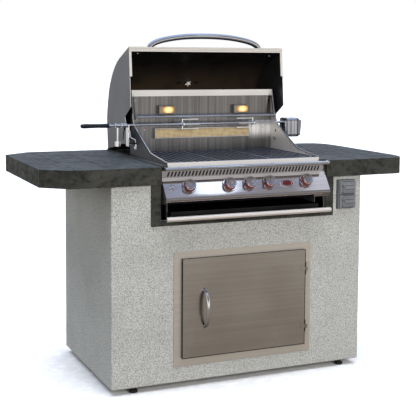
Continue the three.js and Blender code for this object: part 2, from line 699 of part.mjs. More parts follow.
/** The cooking grates: wedge bars between a front and a rear rail. */
function addGrates() {
  const { gap } = fit;
  const left = firebox.left + firebox.wall;
  const width = (firebox.right - firebox.wall - left) / grate.count;
  const front = firebox.wall + fit.running;
  const names = ['grate_left', 'grate_middle', 'grate_right'];
  names.forEach((name, i) => {
    const x0 = left + width * i + gap;
    const x1 = left + width * (i + 1) - gap;
    const pitch = (x1 - x0 - grate.barWidth) / (grate.bars - 1);
    const bars = Array.from({ length: grate.bars }, (unused, j) => {
      const x = x0 + grate.barWidth / 2 + pitch * j;
      const half = grate.barWidth / 2;
      const top = half - grate.slope;
      const section = [[-half, grateBottom], [-top, grate.top], [top, grate.top], [half, grateBottom]];
      return prismY(section.map(([h, v]) => [x + h, v]), front, grate.rear);
    });
    const railTop = grate.top - grate.railDrop;
    add(name, finish.steel, join(
      box(x0, x1, front, front + grate.rail, grateBottom, railTop),
      box(x0, x1, grate.rear - grate.rail, grate.rear, grateBottom, railTop),
      ...bars,
    ));
  });
}

/** The rear burner, the two lamps and the warming rack on the rear wall. */
function addRearWall() {
  const { gap, overrun } = fit;
  const wallFace = firebox.depth - firebox.wall - gap;
  const housing = (x0, x1, z0, z1, depth, border, recess) => cut(
    box(x0, x1, wallFace - depth, wallFace, z0, z1),
    box(x0 + border, x1 - border, wallFace - depth - overrun, wallFace - depth + recess, z0 + border,
      z1 - border),
  );
  add('rear_burner', finish.ceramic, housing(rearBurner.left, rearBurner.right, rearBurner.bottom,
    rearBurner.top, rearBurner.depth, rearBurner.border, rearBurner.recess));
  ['lamp_left', 'lamp_right'].forEach((name, i) => {
    const x = lamp.xs[i];
    add(name, finish.glass, housing(x - lamp.width / 2, x + lamp.width / 2, lamp.z - lamp.height / 2,
      lamp.z + lamp.height / 2, lamp.depth, lamp.border, lamp.recess));
  });
  const x0 = firebox.left + firebox.wall + gap;
  const x1 = firebox.right - firebox.wall - gap;
  const pitch = (x1 - x0) / (rack.wires + 1);
  const wires = Array.from({ length: rack.wires }, (unused, i) => {
    const x = x0 + pitch * (i + 1);
    return bar(rack.wire, [x, rack.y, rack.z], [x, rack.rear, rack.z], 6);
  });
  add('warming_rack', finish.chrome, join(
    bar(rack.radius, [x0 + rack.inset, rack.y, rack.z], [x1 - rack.inset, rack.y, rack.z], 12),
    bar(rack.radius, [x0, rack.rear, rack.z], [x1, rack.rear, rack.z], 12),
    ...wires,
  ));
}

/** A point of the hood's side outline from its shares. */
function hoodPoint(shares) {
  return sharePoint(shares, hood.front, hood.depth, hood.bottom, hood.height);
}

const hoodPoints = hoodSkinShares.map((shares) => new THREE.Vector2(...hoodPoint(shares)));
const hoodCurve = new THREE.SplineCurve(hoodPoints);
const hoodTop = hood.bottom + hood.height;
const lipBottom = hoodTop - hood.lip;

/** The hood's curved skin with its lip, its liner and its two side plates. */
function addHood() {
  const { gap, overrun } = fit;
  const skinLine = hoodCurve.getPoints(hood.skinSteps).map((point) => point.toArray());
  const inner = { left: hood.left + hood.sheet + gap, right: hood.right - hood.sheet - gap };
  const lipLine = [[hood.front, lipBottom], ...skinLine];
  const gaugeHole = bar(gauge.stem + gap, gaugePoint(-overrun), gaugePoint(overrun), 16);
  const skin = prismX(band(lipLine, -hood.sheet), inner.left, inner.right);
  add('hood_skin', finish.greySteel, cut(skin, gaugeHole));
  const linerLine = offset(skinLine, -hood.sheet - hood.linerGap, false);
  const linerStart = [hood.front + hood.sheet + gap * 2, lipBottom + hood.sheet];
  add('hood_liner', finish.darkEnamel, cut(
    prismX(band([linerStart, ...linerLine.slice(2)], -hood.liner), inner.left, inner.right),
    gaugeHole,
  ));
  const notch = hoodNotchShares.map(hoodPoint);
  const ear = arc(pivot.y, pivot.z, pivot.ear, -Math.PI / 2, -Math.PI * 4 / 3, pivot.steps);
  const outline = [[hood.front, lipBottom], ...skinLine, [pivot.y + neck.reach, pivot.z - neck.drop], ...ear,
    ...notch.reverse()];
  const frontEdge = [[hood.front, lipBottom - gap], notch[2]];
  const edgeEnd = [0, 1].map((i) => frontEdge[0][i] + (frontEdge[1][i] - frontEdge[0][i]) * hoodFlangeShare);
  const edge = band([frontEdge[0], edgeEnd], hood.sheet);
  const closed = spitAngle - hoodTravel;
  const slot = [...arc(pivot.y, pivot.z, spitReach + spit.slot, closed, spitAngle, spit.slotSteps),
    ...arc(pivot.y, pivot.z, spitReach - spit.slot, spitAngle, closed, spit.slotSteps)];
  const slotEnd = [pivot.y + spitReach * Math.cos(closed), pivot.z + spitReach * Math.sin(closed)];
  const side = (x0, x1, flange0, flange1) => cut(
    join(prismX(outline, x0, x1), prismX(edge, flange0, flange1)),
    prismX(slot, x0 - overrun, x1 + overrun),
    bar(spit.slot, [x0 - overrun, ...slotEnd], [x1 + overrun, ...slotEnd], 16),
    bar(pivot.bolt + gap, [x0 - overrun, pivot.y, pivot.z], [x1 + overrun, pivot.y, pivot.z], 16),
  );
  add('hood_side_left', finish.greySteel,
    side(hood.left, hood.left + hood.sheet, hood.left, hood.left + hood.edgeFlange));
  add('hood_side_right', finish.greySteel,
    side(hood.right - hood.sheet, hood.right, hood.right - hood.edgeFlange, hood.right));
  const envelopeLine = [...offset(skinLine, gap, false), [hood.front, hood.bottom]];
  const envelope = prismX(envelopeLine, hood.left, hood.right);
  const x0 = hoodHandle.centre - hoodHandle.span / 2;
  const x1 = hoodHandle.centre + hoodHandle.span / 2;
  const y = hoodHandle.y;
  const bow = [[x0, y, hoodHandle.endZ], [x0 + hoodHandle.bend, y, hoodHandle.shoulderZ],
    [hoodHandle.centre, y, hoodHandle.apexZ], [x1 - hoodHandle.bend, y, hoodHandle.shoulderZ],
    [x1, y, hoodHandle.endZ]];
  add('hood_handle', finish.chrome, cut(tube(bow, hoodHandle.radius, hoodHandle.steps), envelope));
}

/** A point on the gauge's axis, some way out from the hood's skin. */
function gaugePoint(reach) {
  const point = hoodCurve.getPoint(gaugeShare);
  const tangent = hoodCurve.getTangent(gaugeShare);
  return [gauge.x, point.x - tangent.y * reach, point.y + tangent.x * reach];
}

/** The thermometer in the hood, with the star nut that holds it from inside. */
function addGauge() {
  const { gap } = fit;
  const nutTop = -hood.sheet - hood.linerGap - hood.liner - gap * 2;
  const profile = [[0, nutTop - gauge.nutThick], [gauge.nut, nutTop - gauge.nutThick], [gauge.nut, nutTop],
    [gauge.stem, nutTop], [gauge.stem, gap], [gauge.radius, gap], [gauge.radius, gauge.thick - gauge.rim],
    [gauge.radius - gauge.rim, gauge.thick], [0, gauge.thick]];
  const origin = new THREE.Vector3(...gaugePoint(0));
  const out = new THREE.Vector3(...gaugePoint(1)).sub(origin);
  const up = new THREE.Vector3().crossVectors(out, axisX);
  const place = new THREE.Matrix4().makeBasis(axisX, up, out).setPosition(origin);
  add('hood_gauge', finish.chrome, turned(profile, place));
}

/** Places along X for a piece of the left side, or of the right side mirrored in the grill's middle. */
function sided(side, x) {
  return side > 0 ? x : grillCentre * 2 - x;
}

/** A box of the left side, or mirrored to the right side. */
function sidedBox(side, x0, x1, ...rest) {
  const [low, high] = [sided(side, x0), sided(side, x1)].sort((a, b) => a - b);
  return box(low, high, ...rest);
}

/** The two shouldered bolts that the hood turns on. */
function addPivots() {
  const { gap } = fit;
  [['hood_pivot_left', 1], ['hood_pivot_right', -1]].forEach(([name, side]) => {
    const disc = (radius, x0, x1) => bar(radius, [sided(side, x0), pivot.y, pivot.z],
      [sided(side, x1), pivot.y, pivot.z], 12);
    const headEnd = hood.left - gap;
    const nutStart = firebox.left + firebox.wall + gap;
    add(name, finish.chrome, join(
      disc(pivot.head, headEnd - pivot.headThick, headEnd),
      disc(pivot.bolt, headEnd - pivot.headThick / 2, nutStart + pivot.headThick / 2),
      disc(pivot.head, hood.left + hood.sheet + gap, firebox.left - gap),
      disc(pivot.head, nutStart, nutStart + pivot.headThick),
    ));
  });
}

/** The spit with its grip, counterweight and forks. */
function addSpit() {
  const { gap, overrun } = fit;
  const { y, z } = spit;
  const bore = (x0, x1) => bar(spit.radius + gap, [x0, y, z], [x1, y, z], 12);
  add('spit_rod', finish.chrome, bar(spit.radius, [spit.left, y, z], [spit.right, y, z], 12));
  add('spit_grip', finish.black, cut(
    bar(spit.gripRadius, [spit.gripLeft, y, z], [spit.gripRight, y, z], 20),
    bore(spit.left - gap, spit.gripRight + overrun),
  ));
  const half = weight.collarWidth / 2;
  const low = z - weight.drop;
  add('counterweight', finish.chrome, cut(
    join(
      bar(weight.collar, [weight.x - half, y, z], [weight.x + half, y, z], 16),
      bar(weight.rod, [weight.x, y, z], [weight.x, y, low], 10),
      bar(weight.radius, [weight.x, y, low - weight.height / 2], [weight.x, y, low + weight.height / 2], 20),
    ),
    bore(weight.x - overrun, weight.x + overrun),
  ));
  [['fork_left', 1], ['fork_right', -1]].forEach(([name, direction], i) => {
    const x = fork.xs[i];
    const plateEnd = x + direction * fork.plate;
    const [low0, high0] = [x, plateEnd].sort((a, b) => a - b);
    const ring = fork.tineRing + fork.tineRadius;
    const tines = [[1, 0], [0, 1], [-1, 0], [0, -1]].map(([h, v]) => bar(fork.tineRadius,
      [x, y + h * fork.tineRing, z + v * fork.tineRing],
      [x + direction * fork.tineLength, y + h * fork.tineRing, z + v * fork.tineRing], 6));
    add(name, finish.chrome, cut(
      join(
        bar(fork.hub, [x - fork.hubWidth / 2, y, z], [x + fork.hubWidth / 2, y, z], 16),
        box(low0, high0, y - ring, y + ring, z - fork.plate, z + fork.plate),
        box(low0, high0, y - fork.plate, y + fork.plate, z - ring, z + ring),
        ...tines,
      ),
      bore(x - fork.hubWidth, x + fork.hubWidth),
    ));
  });
}

/** The brackets that carry the spit, hooked to the firebox's sides, and the motor on the right one. */
function addBrackets() {
  const { gap, overrun } = fit;
  const plateInner = hood.left - bracket.offset;
  const plateOuter = plateInner - bracket.plate;
  [['spit_bracket_left', 1], ['spit_bracket_right', -1]].forEach(([name, side]) => {
    const notch = spit.radius + gap;
    const from = [sided(side, plateOuter - overrun), spit.y, spit.z];
    const to = [sided(side, plateInner + gap), spit.y, spit.z];
    add(name, finish.chrome, cut(
      join(
        sidedBox(side, plateOuter, plateInner, bracket.front, bracket.rear, bracket.bottom,
          spit.z + bracket.rise),
        sidedBox(side, plateOuter, firebox.left - gap, bracket.front, bracket.front + bracket.armWidth,
          bracket.bottom, bracket.bottom + bracket.arm),
        sidedBox(side, firebox.left - gap - hook.plate, firebox.left - gap, hook.front, hook.rear,
          hook.bottom, bracket.bottom + bracket.arm),
      ),
      bar(notch, from, to, 16),
      sidedBox(side, plateOuter - overrun, plateInner + gap, spit.y - notch, spit.y + notch, spit.z,
        spit.z + overrun),
    ));
  });
  const start = sided(-1, plateOuter) + gap;
  const { front, rear, bottom, top, corner } = motor;
  const outline = [
    ...arc(front + corner, bottom + corner, corner, -Math.PI, -Math.PI / 2, motor.steps),
    ...arc(rear - corner, bottom + corner, corner, -Math.PI / 2, 0, motor.steps),
    ...arc(rear - corner, top - corner, corner, 0, Math.PI / 2, motor.steps),
    ...arc(front + corner, top - corner, corner, Math.PI / 2, Math.PI, motor.steps),
  ];
  const capEnd = start + motor.length;
  const bodyEnd = capEnd - motor.cap;
  add('rotisserie_motor', finish.greySteel, cut(
    join(
      prismX(outline, start, bodyEnd),
      prismX(offset(outline, motor.capInset, true), start + motor.cap, capEnd),
    ),
    bar(spit.radius + gap, [start - overrun, spit.y, spit.z], [spit.right + gap, spit.y, spit.z], 12),
  ));
}

/** The access door, its frame, its two hinges and its bow handle. */
function addDoor() {
  const { gap, overrun } = fit;
  const { wall } = doorFrame;
  add('door_frame', finish.frameSteel, cut(
    join(
      prismY(rectangle(door.left - doorFrame.borderLeft, door.right + doorFrame.borderRight,
        door.bottom - doorFrame.borderBottom, door.top + doorFrame.borderTop), frameFront, -gap),
      prismY(rectangle(sleeve.left - wall, sleeve.right + wall, sleeve.bottom - wall, sleeve.top + wall),
        frameFront, doorFrame.sleeve),
    ),
    prismY(rectangle(sleeve.left, sleeve.right, sleeve.bottom, sleeve.top), -overrun,
      doorFrame.sleeve + overrun),
  ));
  const x = door.right + hinge.aside;
  const y = doorFront - hinge.ahead;
  const third = hinge.height / 3;
  const leaves = [];
  const bores = [];
  [['door_hinge_lower', hinge.zs[0]], ['door_hinge_upper', hinge.zs[1]]].forEach(([name, z]) => {
    const low = z - hinge.height / 2;
    const high = z + hinge.height / 2;
    const ends = [[low, low + third - gap], [high - third + gap, high]];
    const leafRear = frameFront - gap;
    add(name, finish.chrome, join(
      bar(hinge.pin, [x, y, low], [x, y, high], 12),
      box(x - hinge.web / 2, x + hinge.leaf, leafRear - hinge.leafThick, leafRear, low, high),
      ...ends.map(([from, to]) => bar(hinge.radius, [x, y, from], [x, y, to], 16)),
      ...ends.map(([from, to]) => box(x - hinge.web / 2, x + hinge.web / 2, y, leafRear, from, to)),
    ));
    leaves.push(box(door.right - hinge.leaf, x, doorFront - hinge.leafThick, doorFront + door.sheet,
      low + third + gap, high - third - gap));
    leaves.push(bar(hinge.radius, [x, y, low + third + gap], [x, y, high - third - gap], 16));
    bores.push(bar(hinge.pin + gap, [x, y, low], [x, y, high], 12));
  });
  add('access_door', finish.warmSteel, cut(
    join(
      cut(
        prismY(rectangle(door.left, door.right, door.bottom, door.top), doorFront, doorBack),
        prismY(rectangle(door.left + door.sheet, door.right - door.sheet, door.bottom + door.sheet,
          door.top - door.sheet), doorFront + door.sheet, overrun),
      ),
      ...leaves,
    ),
    ...bores,
  ));
  const middle = (doorHandle.bottom + doorHandle.top) / 2;
  const tip = doorFront - doorHandle.reach;
  const half = (doorHandle.top - doorHandle.bottom) / 2;
  const bow = [[-1, 0], [-doorHandle.shoulderShare, doorHandle.riseShare], [0, 1],
    [doorHandle.shoulderShare, doorHandle.riseShare], [1, 0]].map(([along, out]) => [
    doorHandle.x, doorFront + (tip - doorFront) * out, middle + along * half]);
  add('door_handle', finish.chrome, cut(
    tube(bow, doorHandle.radius, doorHandle.steps),
    box(doorHandle.x - overrun, doorHandle.x + overrun, doorFront - gap, doorFront + overrun,
      doorHandle.bottom - overrun, doorHandle.top + overrun),
  ));
}

/** The weatherproof outlet: its box in the wall, its cover and its two sprung lids on one rod. */
function addOutlet() {
  const { gap, overrun } = fit;
  const [left, right] = [outletLeft, outletRight];
  const { bottom, top } = outlet;
  const plateFront = -gap - outlet.plate;
  const centreX = (left + right) / 2;
  const rodX = left + lid.aside;
  const rodY = plateFront - lid.ahead;
  const pitch = (top - bottom - lid.ear) / 2;
  const inner = { left: left + outletBox.inset, right: right - outletBox.inset,
    bottom: bottom + outletBox.inset, top: top - outletBox.inset };
  const earZs = [bottom, bottom + pitch, bottom + pitch * 2];
  const lidSpans = [0, 1].map((i) => [earZs[i] + lid.ear + gap, earZs[i + 1] - gap]);
  const windowOf = ([low, high]) => {
    const middle = (low + high) / 2;
    return [centreX - outlet.window / 2, centreX + outlet.window / 2,
      middle - outlet.windowHeight / 2, middle + outlet.windowHeight / 2];
  };
  const windows = lidSpans.map(windowOf);
  add('outlet_box', finish.greyPlastic, join(
    cut(
      box(inner.left, inner.right, 0, outletBox.depth, inner.bottom, inner.top),
      box(inner.left + outletBox.wall, inner.right - outletBox.wall, -overrun,
        outletBox.depth - outletBox.wall, inner.bottom + outletBox.wall, inner.top - outletBox.wall),
    ),
    box(centreX - outletBox.strap, centreX + outletBox.strap, 0, outletBox.device,
      inner.bottom, inner.top),
    ...windows.map(([x0, x1, z0, z1]) => box(x0 + gap, x1 - gap, plateFront + outletBox.faceDepth,
      outletBox.device, z0 + gap, z1 - gap)),
  ));
  add('outlet_cover', finish.greyPlastic, join(
    cut(
      box(left, right, plateFront, -gap, bottom, top),
      ...windows.map(([x0, x1, z0, z1]) => box(x0, x1, -overrun, overrun, z0, z1)),
    ),
    ...earZs.map((z) => box(rodX - lid.barrel, rodX + lid.barrel, rodY - lid.barrel, plateFront + gap,
      z, z + lid.ear)),
    bar(lid.rod, [rodX, rodY, bottom], [rodX, rodY, top], 12),
  ));
  ['outlet_lid_lower', 'outlet_lid_upper'].forEach((name, i) => {
    const [low, high] = lidSpans[i];
    const lidRear = plateFront - gap;
    const lidFront = lidRear - lid.thick;
    const pad = rectangle(rodX + lid.padInset, right - lid.padInset, low + lid.padInset, high - lid.padInset);
    add(name, finish.greyPlastic, cut(
      join(
        cut(
          box(rodX, right - lid.edge, lidFront, lidRear, low, high),
          box(rodX + lid.barrel + lid.wall, right - lid.edge - lid.wall, lidFront + lid.wall, overrun,
            low + lid.wall, high - lid.wall),
        ),
        bar(lid.barrel, [rodX, rodY, low], [rodX, rodY, high], 16),
        prismY(pad, lidFront - lid.pad, lidFront + lid.wall),
      ),
      bar(lid.rod + gap, [rodX, rodY, low - overrun], [rodX, rodY, high + overrun], 12),
    ));
  });
}

addBase();
addFrame();
addFeet();
addCounter();
addFirebox();
addPanel();
addKnobs();
addIgniter();
addManifold();
addTray();
addBurners();
addGrates();
addRearWall();
addHood();
addGauge();
addPivots();
addSpit();
addBrackets();
addDoor();
addOutlet();

// The origin is on the floor, under the middle of the whole island's outline
island.position.set(-(counterLeft + counterRight) / 2, -(counterRear - trayBar.nose) / 2, 0);
const outdoorKitchenIsland = new THREE.Group();
outdoorKitchenIsland.add(island);

export default outdoorKitchenIsland;
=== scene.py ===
"""An outdoor kitchen island dressed for a studio picture.

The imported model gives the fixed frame. Each sub-assembly below is a class that models its finer pieces,
in metres, and gives every piece a procedural finish.
"""

import logging
import math
from dataclasses import dataclass, field
from enum import Enum
from typing import Callable, ClassVar, Iterable, Sequence, Union

import bmesh
import bpy
from mathutils import Matrix, Vector


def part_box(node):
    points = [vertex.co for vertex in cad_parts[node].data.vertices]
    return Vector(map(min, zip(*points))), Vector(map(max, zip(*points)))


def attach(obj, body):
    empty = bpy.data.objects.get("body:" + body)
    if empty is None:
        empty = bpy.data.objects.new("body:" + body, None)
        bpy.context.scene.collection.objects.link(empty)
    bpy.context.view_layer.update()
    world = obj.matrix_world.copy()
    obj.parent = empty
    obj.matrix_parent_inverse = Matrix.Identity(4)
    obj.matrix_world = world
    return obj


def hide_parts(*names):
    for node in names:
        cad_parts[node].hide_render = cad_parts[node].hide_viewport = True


log = logging.getLogger("kitchen_island")

Point = tuple[float, float, float]
Colour = tuple[float, float, float]
Line = Sequence[tuple[float, float]]
FaceTest = Callable[[Vector, Vector], bool]
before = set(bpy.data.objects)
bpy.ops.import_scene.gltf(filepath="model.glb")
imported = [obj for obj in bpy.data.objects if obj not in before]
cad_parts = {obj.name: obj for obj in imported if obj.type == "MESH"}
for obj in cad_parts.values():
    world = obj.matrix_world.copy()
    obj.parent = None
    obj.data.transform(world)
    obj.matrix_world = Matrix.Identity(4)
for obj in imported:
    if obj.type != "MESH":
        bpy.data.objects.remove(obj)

# Angles in degrees: between faces that count as one, at bevelled edges, and above which edges stay sharp
FLAT = 0.5
BEVELLED = 30.0
SHARP = 35.0
SHARP_ON_SHEET = 40.0
SHARP_ON_BARS = 50.0
# The share of a face's normal above which it faces along an axis
FACING = 0.9
# Distances in metres below which vertices merge: in a node's copy, on a turned axis and on a cutting plane
NODE_WELD = 0.00002
AXIS_WELD = 0.000001
PLANE_WELD = 0.00001


class Axis(Enum):
    """A direction along one axis of the island."""

    X = (1.0, 0.0, 0.0)
    Y = (0.0, 1.0, 0.0)
    Z = (0.0, 0.0, 1.0)


class Body(Enum):
    """The bodies that the island's joints move."""

    ISLAND = "island"
    HOOD = "hood"
    DOOR = "door"
    TRAY = "tray"
    KNOB_1 = "burner_knob_1"
    KNOB_2 = "burner_knob_2"
    KNOB_3 = "burner_knob_3"
    KNOB_4 = "burner_knob_4"
    KNOB_5 = "burner_knob_5"
    IGNITER = "igniter"
    SPIT = "spit"
    LOWER_LID = "lower_lid"
    UPPER_LID = "upper_lid"


# Places


def at(x: float, y: float, z: float) -> Matrix:
    """A place without a turn."""
    return Matrix.Translation((x, y, z))


def turned_by(degrees: float, axis: Axis) -> Matrix:
    """A turn about one axis."""
    return Matrix.Rotation(math.radians(degrees), 4, axis.name)


def laid_along(across: Vector, up: Vector, out: Vector) -> Matrix:
    """The turn that lays X, Y and Z along three directions."""
    return Matrix((across, up, out)).transposed().to_4x4()


# Shader expressions


class Value:
    """A number socket of a shader, with Python's operators on it."""

    def __init__(self, tree: "NodeTree", socket: bpy.types.NodeSocket) -> None:
        """Keeps the tree and the socket.

        Args:
            tree: The tree that gets the nodes.
            socket: The output that gives the number.
        """
        self.tree = tree
        self.socket = socket

    def _math(self, operation: str, *others: "Number") -> "Value":
        """Adds one Math node.

        Args:
            operation: The Math node's operation.
            others: The values after the first.

        Returns:
            The node's output.
        """
        node = self.tree.node("ShaderNodeMath", {"operation": operation}, dict(enumerate((self, *others))))
        return Value(self.tree, node.outputs[0])

    def __add__(self, other: "Number") -> "Value":
        """The sum."""
        return self._math("ADD", other)

    __radd__ = __add__

    def __sub__(self, other: "Number") -> "Value":
        """The difference."""
        return self._math("SUBTRACT", other)

    def __rsub__(self, other: float) -> "Value":
        """A number minus this value."""
        return self * -1.0 + other

    def __mul__(self, other: "Number") -> "Value":
        """The product."""
        return self._math("MULTIPLY", other)

    __rmul__ = __mul__

    def __truediv__(self, other: "Number") -> "Value":
        """The quotient."""
        return self._math("DIVIDE", other)

    def power(self, exponent: float) -> "Value":
        """This value to a power."""
        return self._math("POWER", exponent)

    def lowest(self, other: "Number") -> "Value":
        """The lower of two values."""
        return self._math("MINIMUM", other)

    def size(self) -> "Value":
        """The value without its sign."""
        return self._math("ABSOLUTE")

    def wrapped(self, high: float, low: float = 0.0) -> "Value":
        """The value wrapped into a range."""
        return self._math("WRAP", high, low)

    def ramp(self, low: float, high: float, start: float = 0.0, end: float = 1.0) -> "Value":
        """Maps a range smoothly onto another and stays within it.

        Args:
            low: The value that gives the start.
            high: The value that gives the end.
            start: The result at the low value.
            end: The result at the high value.

        Returns:
            The mapped value.
        """
        limits = {0: self, 1: low, 2: high, 3: start, 4: end}
        node = self.tree.node("ShaderNodeMapRange", {"interpolation_type": "SMOOTHSTEP"}, limits)
        return Value(self.tree, node.outputs[0])


Number = Union[float, Value]


class NodeTree:
    """A tree of shader nodes, of a material or of the world."""

    def __init__(self, tree: bpy.types.NodeTree) -> None:
        """Keeps the tree's nodes and links.

        Args:
            tree: The tree to fill.
        """
        self.nodes, self.links = tree.nodes, tree.links

    def node(self, kind: str, settings: dict, values: dict) -> bpy.types.Node:
        """Adds a node of any kind.

        Args:
            kind: The node's type.
            settings: Its properties, set first; a list of stops fills a colour ramp.
            values: Its inputs by name or number, as plain values, sockets or Values.

        Returns:
            The node.
        """
        made = self.nodes.new(kind)
        for name, setting in settings.items():
            if name == "stops":
                self._fill_ramp(made.color_ramp, setting)
            else:
                setattr(made, name, setting)
        for key, value in values.items():
            self.feed(made.inputs[key], value)
        return made

    @staticmethod
    def _fill_ramp(ramp: bpy.types.ColorRamp, stops: Sequence[tuple[float, Colour]]) -> None:
        """Sets a ramp's stops.

        Args:
            ramp: The colour ramp.
            stops: Each stop's place and colour.
        """
        while len(ramp.elements) < len(stops):
            ramp.elements.new(1.0)
        for element, (place, colour) in zip(ramp.elements, stops):
            element.position = place
            element.color = (*colour, 1.0)

    def feed(self, socket: bpy.types.NodeSocket, value: object) -> None:
        """Sets or links one input.

        Args:
            socket: The input.
            value: A number, colour, vector, socket or Value.
        """
        if isinstance(value, Value):
            value = value.socket
        if isinstance(value, bpy.types.NodeSocket):
            self.links.new(value, socket)
        elif socket.type == "RGBA":
            socket.default_value = (*value[:3], 1.0)
        else:
            socket.default_value = value

    def blend(self, share: Number, first: object, second: object) -> bpy.types.NodeSocket:
        """Mixes two colours.

        Args:
            share: The share of the second.
            first: The colour at zero.
            second: The colour at one.

        Returns:
            The mixed colour.
        """
        mix = self.node("ShaderNodeMix", {"data_type": "RGBA"}, {0: share, 6: first, 7: second})
        return mix.outputs[2]


class Recipe(NodeTree):
    """One material's node tree, written as expressions."""

    def __init__(self, name: str) -> None:
        """Starts a material with one Principled shader.

        Args:
            name: The material's name.
        """
        self.material = bpy.data.materials.new(name)
        self.material.use_nodes = True
        super().__init__(self.material.node_tree)
        self.shader = self.nodes["Principled BSDF"]
        self.place = self.node("ShaderNodeTexCoord", {}, {}).outputs["Object"]

    def set(self, **inputs: object) -> None:
        """Sets inputs of the Principled shader, with _ for a space in a name.

        Args:
            inputs: The inputs' names and their values.
        """
        for name, value in inputs.items():
            self.feed(self.shader.inputs[name.replace("_", " ").title().replace("Ior", "IOR")], value)

    def base(self) -> bpy.types.NodeSocket:
        """The colour that the shader has so far."""
        return self.shader.inputs["Base Color"].links[0].from_socket

    def along(self, axis: Axis) -> Value:
        """The place along one axis, in metres."""
        parts = self.node("ShaderNodeSeparateXYZ", {}, {0: self.place})
        return Value(self, parts.outputs["XYZ".index(axis.name)])

    def stretched(self, scale: Point) -> bpy.types.NodeSocket:
        """The place, stretched by a factor on each axis."""
        return self.node("ShaderNodeMapping", {}, {"Vector": self.place, "Scale": scale}).outputs[0]

    def noise(self, scale: Union[float, Point], detail: float = 3.0, roughness: float = 0.5) -> Value:
        """Smooth noise around one half.

        Args:
            scale: Waves to a metre, alike or for each axis.
            detail: The number of finer layers.
            roughness: How strong the finer layers are.

        Returns:
            The noise.
        """
        stretch = scale if isinstance(scale, tuple) else (scale, scale, scale)
        values = {"Vector": self.stretched(stretch), "Scale": 1.0, "Detail": detail, "Roughness": roughness}
        return Value(self, self.node("ShaderNodeTexNoise", {}, values).outputs[0])

    def cells(self, scale: float) -> Value:
        """Distance to the nearest point of a pattern of cells.

        Args:
            scale: Cells to a metre.

        Returns:
            The distance.
        """
        values = {"Vector": self.stretched((scale, scale, scale)), "Scale": 1.0}
        return Value(self, self.node("ShaderNodeTexVoronoi", {"feature": "F1"}, values).outputs["Distance"])

    def relief(self, height: Value, depth: float, strength: float = 1.0) -> None:
        """Feeds a bump into the shader.

        Args:
            height: The height, from 0 to 1.
            depth: The relief's depth in metres.
            strength: How strongly it shows.
        """
        values = {"Height": height, "Distance": depth, "Strength": strength}
        self.set(normal=self.node("ShaderNodeBump", {}, values).outputs[0])


# Finishes


@dataclass(frozen=True)
class Finish:
    """A finish of one material slot; its recipe is the same wherever it is used."""

    made: ClassVar[dict["Finish", bpy.types.Material]] = {}
    slot: str

    def make(self) -> bpy.types.Material:
        """Gives the finish's material, made once.

        Returns:
            The material.
        """
        if self not in self.made:
            recipe = Recipe(f"{self.slot}_{len(self.made)}")
            self.mix(recipe)
            self.made[self] = recipe.material
        return self.made[self]

    def mix(self, recipe: Recipe) -> None:
        """Fills the material's node tree.

        Args:
            recipe: The tree to fill.
        """
        raise NotImplementedError


@dataclass(frozen=True)
class Stucco(Finish):
    """Floated cement stucco: a fine pale grain with scattered pits and short trowel drags."""

    pale: Colour = (0.555, 0.565, 0.545)
    grey: Colour = (0.29, 0.295, 0.282)
    pit: Colour = (0.07, 0.07, 0.065)
    depth: float = 0.0022

    def mix(self, recipe: Recipe) -> None:
        """Fills the tree: fine grain, drags, scattered pits and slow patches.

        Args:
            recipe: The tree to fill.
        """
        grain = recipe.noise(190.0, 4.0, 0.62)
        drags = recipe.noise((52.0, 52.0, 150.0), 3.0, 0.55)
        patches = recipe.noise(6.0, 3.0, 0.5)
        clusters = recipe.noise(14.0, 2.0, 0.5)
        spots = recipe.cells(95.0)
        dark_spots = spots.ramp(0.1, 0.22, 1.0, 0.0) * clusters.ramp(0.5, 0.62)
        rough_areas = drags.ramp(0.3, 0.46, 1.0, 0.0) * clusters.ramp(0.42, 0.66, 0.25, 1.0)
        body = recipe.blend(grain.ramp(0.36, 0.6), self.grey, self.pale)
        body = recipe.blend(patches.ramp(0.35, 0.75, 0.0, 0.25), body, self.grey)
        body = recipe.blend(rough_areas * 0.55, body, self.grey)
        recipe.set(
            base_color=recipe.blend(dark_spots * 0.8, body, self.pit),
            roughness=0.95,
            specular_ior_level=0.2,
        )
        recipe.relief(grain * 0.6 + drags * 0.3 + (1.0 - dark_spots) * 0.3, self.depth, 0.8)


@dataclass(frozen=True)
class StoneTile(Finish):
    """Honed stone tile with a cloudy colour, fine grit and pale flecks."""

    base: Colour = (0.036, 0.042, 0.047)
    cloud: Colour = (0.058, 0.066, 0.073)
    fleck: Colour = (0.13, 0.135, 0.135)
    dark: Colour = (0.022, 0.025, 0.027)
    roughness: float = 0.72
    relief_depth: float = 0.0006

    def mix(self, recipe: Recipe) -> None:
        """Fills the tree: clouds, veins, grit and a worn roughness.

        Args:
            recipe: The tree to fill.
        """
        clouds = recipe.noise((9.0, 9.0, 14.0), 5.0, 0.6)
        grit = recipe.noise(420.0, 3.0, 0.7)
        blotches = recipe.noise((38.0, 38.0, 55.0), 4.0, 0.62)
        body = recipe.blend(clouds.ramp(0.35, 0.68), self.base, self.cloud)
        body = recipe.blend(blotches.ramp(0.5, 0.7, 0.0, 0.7), body, self.dark)
        body = recipe.blend(grit.ramp(0.6, 0.74, 0.0, 0.55), body, self.fleck)
        recipe.set(
            base_color=body,
            roughness=blotches.ramp(0.3, 0.7, self.roughness - 0.1, self.roughness + 0.15),
            specular_ior_level=0.22,
        )
        recipe.relief(grit * 0.4 + blotches * 0.6, self.relief_depth)


